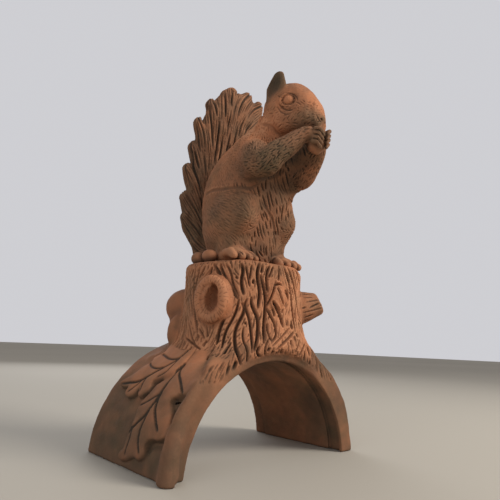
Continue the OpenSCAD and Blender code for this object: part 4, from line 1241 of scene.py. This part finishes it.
def spine(stations, steps):
    """the path of a line of stations on the stump"""
    path = smooth_line(stations, steps)
    path[:, 1] = trunk_y - path[:, 1]
    path[:, 2] += stump_top
    return path


def along_path(path, at):
    """the way a spine runs beside each point, and the nearest station"""
    gap = np.linalg.norm(at[:, None, 1:3] - path[None, :, 1:3], axis=2)
    k = np.clip(gap.argmin(1), 1, len(path) - 2)
    d = path[k + 1, :3] - path[k - 1, :3]
    return d / np.linalg.norm(d, axis=1, keepdims=True), k


tail_path = spine(tail_line, 6)


def tail_way(at, out):
    """up the tail and out to its edges, in long slow waves"""
    go, k = along_path(tail_path, at)
    side = np.clip((at[:, 0] - tail_path[k, 0]) / tail_path[k, 4], -1.1, 1.1)
    low = np.clip(1 - (at[:, 2] - stump_top) / 170, 0, 1)
    wave = 0.12 * np.sin(at[:, 2] / 26 + at[:, 0] / 17)
    go[:, 0] += side * np.abs(side) * (0.55 + 0.8 * low) + 0.15 * side + wave
    return go


every = np.ones(len(tail_skin.points), bool)
locks = tail_skin.comb(every, tail_way, 8.0, 90, 2.2, 3.2, 41, 0.02, 0.15)
tail_skin.comb(every, tail_way, 3.0, 46, 1.15, 1.5, 42, 0.03, 0.15, 0.7, (locks, 1.8))
tail_skin.cut += 0.3 * mottle(tail_skin.points, 9, 43)
tail_skin.work()
part_out(tail_skin, {"tail": (0.14, 0.17, 0.04, 0.2)}, [
    ((0, 95, 500), (50, 60, 70), (0.25, 0, 0.05, -0.1)),
    ((-30, 110, 290), (50, 40, 60), (-0.15, 0.12, 0, 0.3))])

# Squirrel: body, head and limbs are lumps of clay luted together and combed with a fine point.
# The figure is worked in one block too; x is its left, forward its front, up from the stump's top.
figure_block = ClayBlock((-72, -127, stump_top - 4), (70, trunk_y + 66, 514), fur_cell)


def on_body():
    """a lump in the figure's own measures"""
    return Lump(figure_block, figure_spot, figure_ways)


torso_line = [
    (0, -6, 0.4, 36, 34), (0, -7, 12, 43, 40), (0, -8, 48, 54, 48), (0, -9, 84, 60, 53),
    (0, -3, 109, 60, 53), (0, 4, 136, 45, 43), (0, 18, 156, 30, 34), (0, 39, 173, 23.5, 30),
    (0, 60, 187, 22, 26), (0, 74, 194, 15, 17)]
chest_balls = [(6, 38, 136, 32, 30, 32), (8, 54, 150, 27, 24, 28)]
belly_balls = [(8, 12, 68, 42, 40, 42), (12, 22, 88, 37, 39, 36)]
torso = on_body()
slab(torso, torso_line, 5)
for balls in (chest_balls, belly_balls):
    front = on_body()
    front.roll(balls, 6)
    torso.merge(front, 16)
throat = on_body()
throat.cord([(12, 52, 140, 20), (21, 72, 141, 15), (14, 91, 148, 12)])
torso.merge(throat, 12)
figure_block.press("torso", torso.depth, 0)

# Haunches: the folded hind legs. Each is a swelling roll of clay for the thigh, with a smaller one
# under it for the shin, luted to the flank so that it sinks into the body.
for name, side in (("thigh_right", -1), ("thigh_left", 1)):
    thigh = on_body()
    thigh.roll([
        (27 * side, -6, 58, 29, 41, 49),
        (35 * side, 14, 63, 24, 35, 39),
        (37 * side, 33, 64, 17, 21, 25)], 9)
    shin = on_body()
    shin.roll([(34 * side, 15, 34, 17, 22, 28), (38 * side, 13, 18, 14, 20, 17)], 6)
    thigh.merge(shin, 12)
    figure_block.lute(name, thigh.depth, 22)

# Arms: the shoulders melt into the body. The right elbow hangs lower and the left is lifted, and
# both forearms bring the paws together under the chin round the nut.
shoulders = {
    "arm_right": [(-32, 38, 142, 22, 30, 28), (-40, 60, 124, 18, 22, 20)],
    "arm_left": [(30, 36, 143, 19, 24, 24), (34, 54, 126, 16, 18, 19)]}
arm_lines = {
    "arm_right": [
        (-34, 52, 138, 21), (-39, 58, 134, 21.5), (-46, 72, 121, 19), (-45, 86, 116, 16.5),
        (-40, 96, 126, 15), (-30, 106, 136, 13), (-20, 116, 148, 10.3), (-13, 122, 153, 9)],
    "arm_left": [
        (28, 42, 146, 20.5), (34, 50, 138, 20), (37, 57, 128, 18), (36, 71, 123, 16),
        (32, 87, 132, 14), (26, 102, 143, 12.5), (20, 114, 152, 10), (15, 122, 158, 9)]}
for name, line in arm_lines.items():
    shoulder = on_body()
    shoulder.roll(shoulders[name], 8)
    figure_block.lute(name, shoulder.depth, 26)
    arm = on_body()
    arm.cord(smooth_line(line, 3))
    figure_block.lute(name, arm.depth, 10)

# Head: an egg with full cheeks, turned to the animal's left and luted onto the neck, with a blunt
# nose and a narrow mouth. The eyes are smooth balls, each set in a socket with a thick lid round it.
head_turn = np.radians(14)
head_spot = np.array((0, trunk_y - 62, stump_top))
head_ways = np.array((
    (np.cos(head_turn), np.sin(head_turn), 0),
    (np.sin(head_turn), -np.cos(head_turn), 0),
    (0, 0, 1)))


def on_head():
    """a lump in the measures of the turned head"""
    return Lump(figure_block, head_spot, head_ways)


head_line = [
    (0, -20, 208, 8, 8), (0, -16, 207, 19, 17), (0, -6, 204, 30, 25), (0, 9, 203.5, 38.5, 30),
    (0, 24, 203, 38.5, 30), (0, 37, 199, 37, 28), (0, 47, 194, 32, 23.5), (0, 54, 189.5, 26, 18.5),
    (0, 60, 185, 20, 14.5), (0, 64, 183, 12, 9.5)]
head = on_head()
cut, (s, f, u) = head.room((-44, -36, 150), (44, 78, 256))
line = smooth_line(head_line, 6)
middle_u, high, broad = [np.interp(f, line[:, 1], line[:, k]) for k in (2, 3, 4)]
high = high - 1.2
past = np.maximum(np.maximum(-20 - f, f - 58.5), 0) / 6
egg = (np.abs((u - middle_u) / high) ** 2.2 + np.abs(s / broad) ** 2.2 + past ** 2) ** (1 / 2.2) - 1
slopes = np.gradient(egg, fur_cell)
head.depth[cut] = egg / np.maximum(np.sqrt(sum(g * g for g in slopes)), 0.004)
for side in (-1, 1):
    cheek = [(17 * side, 18, 186, 14, 18, 18), (13 * side, 42, 181, 12, 16, 14)]
    brow = [(18 * side, 18, 217, 9, 13, 8), (18 * side, 33, 215, 7, 10, 7)]
    lip = [(6.5 * side, 53.5, 176, 7, 8.5, 7.5), (5 * side, 46, 171, 8, 9, 7)]
    for balls, soft in ((cheek, 8), (brow, 7), (lip, 5)):
        swelling = on_head()
        swelling.roll(balls, 6)
        head.merge(swelling, soft)
figure_block.lute("head", head.depth, 9)
nose = on_head()
nose.ball((0, 60, 182), (7, 5, 6.5))
figure_block.press("nose", nose.depth, 3)
eye_spot = np.array((24.9, 27.4, 204.4))
for side in (-1, 1):
    eye_at = eye_spot * (side, 1, 1)
    tilt = np.radians(22) * side
    out_way = np.array((np.cos(tilt) * side, np.sin(tilt) * side, 0.05)) @ head_ways
    out_way = out_way / np.linalg.norm(out_way)
    side_way = np.cross((0, 0, 1), out_way)
    side_way = side_way / np.linalg.norm(side_way)
    lid_ways = (out_way, side_way, np.cross(out_way, side_way))
    eye_place = head_spot + eye_at @ head_ways
    socket = Lump(figure_block, eye_place, lid_ways)
    socket.ball((7, 0, 0), (8, 10.5, 9))
    figure_block.carve(socket.depth, 3)
    lid = Lump(figure_block, eye_place, lid_ways)
    lid.ring((3.2, 0, 0), (10.6, 9), 2.0)
    figure_block.press("head", lid.depth, 2.2)
    corner = Lump(figure_block, eye_place, lid_ways)
    corner.cord([(2.5, 10 * -side, -1.5, 1.8), (1.5, 15.5 * -side, -3.5, 1.2)])
    figure_block.press("head", corner.depth, 3)
    eye = on_head()
    eye.ball(eye_at, (7.6, 7.6, 7.6))
    figure_block.press("eye_right" if side < 0 else "eye_left", eye.depth, 0)
    nostril = on_head()
    nostril.cord([
        (side * 4.2, 64, 178.6, 1.3),
        (side * 6.8, 61.5, 180.5, 1.5),
        (side * 8.2, 58.5, 184, 0.9)])
    figure_block.carve(nostril.depth, 1.0)
mouth = on_head()
mouth.cord([(0, 65, 176, 0.9), (0, 64, 171, 0.9)])
mouth.cord([(0, 64, 171, 0.8), (-5, 61.5, 167, 0.9), (-11, 56, 167, 0.7)])
mouth.cord([(0, 64, 171, 0.8), (5, 61.5, 167, 0.9), (11, 56, 167, 0.7)])
figure_block.carve(mouth.depth, 1.2)

# Ears: upright cups with a pointed tip, open to the side and a little to the back. Each is a flat
# roll of clay pressed onto the crown of the head and hollowed with a rounded tool.
for name, side in (("ear_right", -1), ("ear_left", 1)):
    ear = on_head()
    ear.roll([
        (22 * side, 5, 216.6, 6, 13.4, 7.5),
        (25 * side, 8, 229, 5.5, 14.6, 10),
        (27 * side, 12, 242.8, 3.7, 8.4, 7.5),
        (28 * side, 14, 247.5, 1.5, 2.4, 2)], 8)
    cup = on_head()
    cup.roll([
        (29.5 * side, 2.5, 220.4, 5, 8.5, 5.5),
        (31 * side, 6.5, 231.6, 5.2, 10.4, 8),
        (31.5 * side, 11, 241, 3, 5.2, 6)], 8)
    ear.depth = -melt(-ear.depth, cup.depth, 1.5)
    figure_block.press(name, ear.depth, 3)

# Nut and paws: the nut is a ball of clay with a small point below, held under the chin. Each paw is
# a pad pressed against it, with four slender fingers rolled thin and bent over it.
held = on_body()
held.ball((2, 123.8, 145), (13, 12, 13))
held.ball((2, 125, 133.5), (3, 3, 3.5), 4)
figure_block.press("held_nut", held.depth, 1)
finger_marks = np.array(((-12, 132.7, 151.4), (-9, 138.2, 149.4), (-4.4, 139.4, 143.6)))
finger_step = np.array((-0.4, -1.1, -5.2))
nut_axis = np.array((2, 123.8, 0))
finger_gaps = []
for name, side, lift in (("hand_right", -1, 0), ("hand_left", 1, 3)):
    palm = on_body()
    wrist = (13.5 * side, 122, 152 + lift, 7.5, 9, 8.5)
    knuckles = (9 * side, 127.5, 150 + lift, 6, 7.5, 8)
    palm.roll([wrist, knuckles], 5)
    figure_block.press(name, palm.depth, 3)
    for i in range(4):
        finger = on_body()
        beads = (finger_marks + finger_step * (i - 1) + (0, 0, lift)) * (-side, 1, 1)
        finger.cord([(*bead, thick) for bead, thick in zip(beads, (2.8, 2.6, 2.0))], 0.5)
        if i < 3:
            gap = beads + (0.2 * side, -0.55, -2.6) - nut_axis
            finger_gaps.append((1.9, *(gap * (1.16, 1.16, 1) + nut_axis)))
        figure_block.press(name, finger.depth, 0.2)

# Feet: flat pads of clay laid on the stump under the shins, each with four plump toes that grip the
# rim. They are rubbed smooth, and the gaps between the toes are pressed in.
for name, side in (("foot_right", -1), ("foot_left", 1)):
    foot = on_body()
    foot.roll([
        (39 * side, 10, 8.4, 12, 15, 8.2),
        (40 * side, 29, 9.8, 15.5, 14, 9.8),
        (40 * side, 38, 7, 16, 9, 7)], 6)
    figure_block.press(name, foot.depth, 5)
    for i in range(4):
        w = i - 1.5
        x = 40 * side + w * 9.6
        toe = on_body()
        toe.cord([(x, 28, 10, 5.4), (x + w, 39, 9.6, 5.4), (x + 2 * w, 50.6 - 2.6 * abs(w), 4.8, 5)], 2)
        figure_block.press(name, toe.depth, 2.5)
floor_gap = np.ix_(*figure_block.axes)[2] - (stump_top + 0.3) + 0 * figure_block.depth
figure_block.depth = -melt(-figure_block.depth, floor_gap, 1)

# Fur: scored with a fine point, lock by lock, along the body and the limbs, and coarser down the
# belly and on the cheeks. The balls of the eyes are left smooth.
figure_skin = Skin(figure_block)
F = figure_skin.points
torso_path = spine(torso_line, 6)


def body_way(at, out):
    """down the back from the neck, and straight down the belly with a drift to one side"""
    go, _ = along_path(torso_path, at)
    down = -go
    front = np.clip(-out[:, 1] * 2, 0, 1)[:, None]
    return down * (1 - front) + np.array((0.3, 0, -1)) * front


def head_way(at, out):
    """back from the nose over the cheeks, and a little down and out"""
    back = -head_ways[1] + np.array((0, 0, -0.3))
    side = np.sign((at - head_spot) @ head_ways[0])[:, None] * head_ways[0]
    return back + 0.25 * side + np.array((0, 0, 0.5)) * mottle(at, 9, 52)[:, None]


def limb_way(line):
    """along a limb, from the shoulder to the paw"""
    path = spine(line, 4)

    def way(at, out):
        gap = np.linalg.norm(at[:, None, :] - path[None, :, :3], axis=2)
        k = np.clip(gap.argmin(1), 1, len(path) - 2)
        go = path[k + 1, :3] - path[k - 1, :3]
        return go / np.linalg.norm(go, axis=1, keepdims=True)
    return way


def haunch_way(side):
    """from the hip down and forward over the thigh to the foot"""
    hip = np.array((30 * side, trunk_y + 30, stump_top + 70))
    return lambda at, out: (at - hip) * (0.6, 1, 1) + np.array((0, -18, -34))


def belly_way(at, out):
    """down the belly and over to the animal's left, in loose locks"""
    return np.array((0.55, 0, -1)) + np.array((0.5, 0, 0)) * mottle(at, 14, 60)[:, None]


# The creases that show were drawn one by one: the lids and the folds under the right eye, the
# nostril, the jaw, the crest of the haunch, the folds at elbow, belly and ankle, and the gaps
# between the right foot's toes.
fine_creases = (
    (2.2, (-26, 90, 205), (-23, 91, 201), (-22, 97, 197), (-19, 101, 198), (-16, 103, 202)),
    (2, (-25, 86, 212), (-24, 89, 215), (-22, 96, 214), (-18, 102, 212), (-16, 107, 206), (-16, 108, 201)),
    (2, (-26, 90, 208), (-25, 86, 211), (-25, 82, 214)),
    (2.4, (-26, 85, 201), (-24, 90, 194), (-21, 96, 190), (-18, 103, 190)),
    (2, (-26, 82, 199), (-25, 87, 190), (-23, 94, 185), (-19, 100, 185)),
    (2.6, (2, 124, 183), (4, 125, 179), (8, 125, 175), (10, 124, 177)),
    (2, (-49, 47, 12), (-48, 54, 5)),
    (2, (-41, 49, 12), (-40, 56, 5)),
    (2, (-33, 47, 13), (-34, 55, 4)))
jaw_crease = (6, (-30, 58, 183), (-27, 65, 180), (-23, 71, 175), (-18, 73, 169), (-13, 75, 167))
haunch_crease = (5.5, (-51, -27, 98), (-54, -10, 100), (-53, 12, 97), (-49, 27, 97), (-45, 38, 96),
    (-36, 49, 93), (-28, 55, 100))
elbow_crease = (11, (-46, 48, 100), (-41, 56, 101), (-37, 63, 103), (-21, 62, 110), (-5, 62, 118),
    (3, 66, 124))
belly_crease = (5, (-20, 53, 81), (-5, 54, 66), (9, 51, 49), (18, 48, 30))
ankle_crease = (5, (-41, 46, 25), (-28, 44, 17), (-22, 51, 7))
deep_creases = (jaw_crease, haunch_crease, elbow_crease, belly_crease, ankle_crease)


def on_figure(creases):
    """creases given in the figure's own measures, at their places in the block"""
    ways = np.array(figure_ways)
    return [(width, figure_spot + np.array(line, float) @ ways) for width, *line in creases]


smooth_parts = figure_skin.of("eye_right", "eye_left")
not_eyes = figure_skin.fade(~smooth_parts, 1)
figure_skin.draw(not_eyes, on_figure(deep_creases), 1.0, 0.25, 0.45)
figure_skin.draw(not_eyes, on_figure((*fine_creases, *finger_gaps)), 3.0, 0.15, 1)
belly = figure_skin.of("torso") & (figure_skin.ways[:, 1] < -0.25) & (F[:, 2] < stump_top + 165)
back_fur = figure_skin.of("torso") & ~belly
figure_skin.comb(belly, belly_way, 3.8, 24, 1.5, 2.0, 51, 0.1, 0.3, 0.9)
figure_skin.comb(back_fur, body_way, 2.6, 9, 1.0, 0.85, 53, 0.2, 0.3, 0.5)
for name, line in arm_lines.items():
    limb = figure_skin.of(name)
    lower = limb & (F[:, 1] < trunk_y - 62)
    figure_skin.comb(limb & ~lower, limb_way(line), 2.6, 9, 1.0, 0.9, 54, 0.25, 0.3, 0.5)
    figure_skin.comb(lower, limb_way(line), 2.7, 9, 1.15, 1.2, 61, 0.3, 0.4, 0.75)
for name, side in (("thigh_right", -1), ("thigh_left", 1)):
    figure_skin.comb(figure_skin.of(name), haunch_way(side), 2.7, 14, 1.1, 1.0, 55, 0.1, 0.3, 0.55)
cheek_rough = figure_skin.of("head") & (F[:, 2] < stump_top + 203)
figure_skin.comb(cheek_rough, head_way, 2.9, 7, 1.1, 1.0, 56, 0.4, 0.25, 0.6)
figure_skin.comb(figure_skin.of("head") & ~cheek_rough, head_way, 2.8, 6, 0.9, 0.35, 57, 0.3, 0.15, 0.3)
figure_skin.cut += (0.3 * mottle(F, 8, 58) + 0.1 * mottle(F, 3, 59)) * ~smooth_parts
figure_skin.work()
# The squirrel's own mix, and its stains and painted shading: moss on the arm, the muzzle and an ear,
# painted shade under the chin, between the elbows and on the belly under the arms, a darker patch
# low between the feet, painted light on the side of the neck where the head's shadow falls, and clay
# rubbed pale higher on the neck, on the shoulder and on the bridge of the nose.
figure_tones = {
    "torso": (0.48, 0.06, 0.03, 0.12),
    "head": (0.72, 0.03, 0.04, 0.05),
    "ear_right": (0.4, 0.1, 0.02, 0.4),
    "ear_left": (0.5, 0.08, 0.02, 0.2),
    "eye_right": (1.0, 0.0, 0.06, 0),
    "eye_left": (1.0, 0.0, 0.06, 0),
    "nose": (0.4, 0.1, 0.02, 0.35),
    "arm_right": (0.48, 0.1, 0.02, 0.18),
    "arm_left": (0.45, 0.08, 0.02, 0.2),
    "hand_right": (0.4, 0.12, 0.03, 0.45),
    "hand_left": (0.4, 0.12, 0.03, 0.4),
    "held_nut": (0.6, 0.08, 0.03, 0.1),
    "thigh_right": (0.5, 0.05, 0.02, 0.22),
    "thigh_left": (0.5, 0.06, 0.02, 0.22),
    "foot_right": (0.85, 0.04, 0.24, 0.12),
    "foot_left": (0.85, 0.04, 0.24, 0.12)}
figure_stains_and_shading = [
    ((-50, -78, 350), (26, 34, 26), (-0.15, 0.1, 0.1, 0.5)),
    ((-48, -92, 366), (20, 24, 20), (-0.1, 0.1, 0.1, 0.4)),
    ((-12, -98, 416), (22, 24, 15), (-0.25, 0.12, 0, 0.5)),
    ((-24, -54, 471), (12, 14, 16), (-0.35, 0.4, 0, 0.5)),
    # painted shade under the chin, between the arms
    ((9, -66, 382), (26, 24, 22), (-0.3, 0.55, 0, 0.1)),
    # painted shade between the elbows
    ((0, -52, 346), (34, 14, 14), (-0.2, 0.35, 0, 0.1)),
    # darker low between the feet
    ((0, -40, 250), (40, 24, 20), (-0.25, 0.35, 0, 0.15)),
    ((-57, -20, 300), (20, 40, 34), (-0.15, 0.06, 0.04, 0.25)),
    ((-2, -101, 441), (26, 20, 18), (0.3, -0.1, 0.08, -0.15)),
    # painted light on the side of the neck, where the head's shadow falls
    ((-28, -33, 406), (24, 26, 22), (0.9, -0.45, 0.6, -0.4)),
    ((-20, -10, 420), (26, 30, 20), (0.3, -0.1, 0.05, -0.15)),
    ((-40, 0, 390), (26, 36, 30), (0.25, 0, 0.1, -0.05)),
    # painted shade on the belly under the arms
    ((8, -32, 312), (34, 30, 42), (-0.25, 0.13, 0, 0.15)),
    ((6, -106, 415), (12, 9, 9), (-0.3, 0.2, 0, 0.5))]
part_out(figure_skin, figure_tones, figure_stains_and_shading)
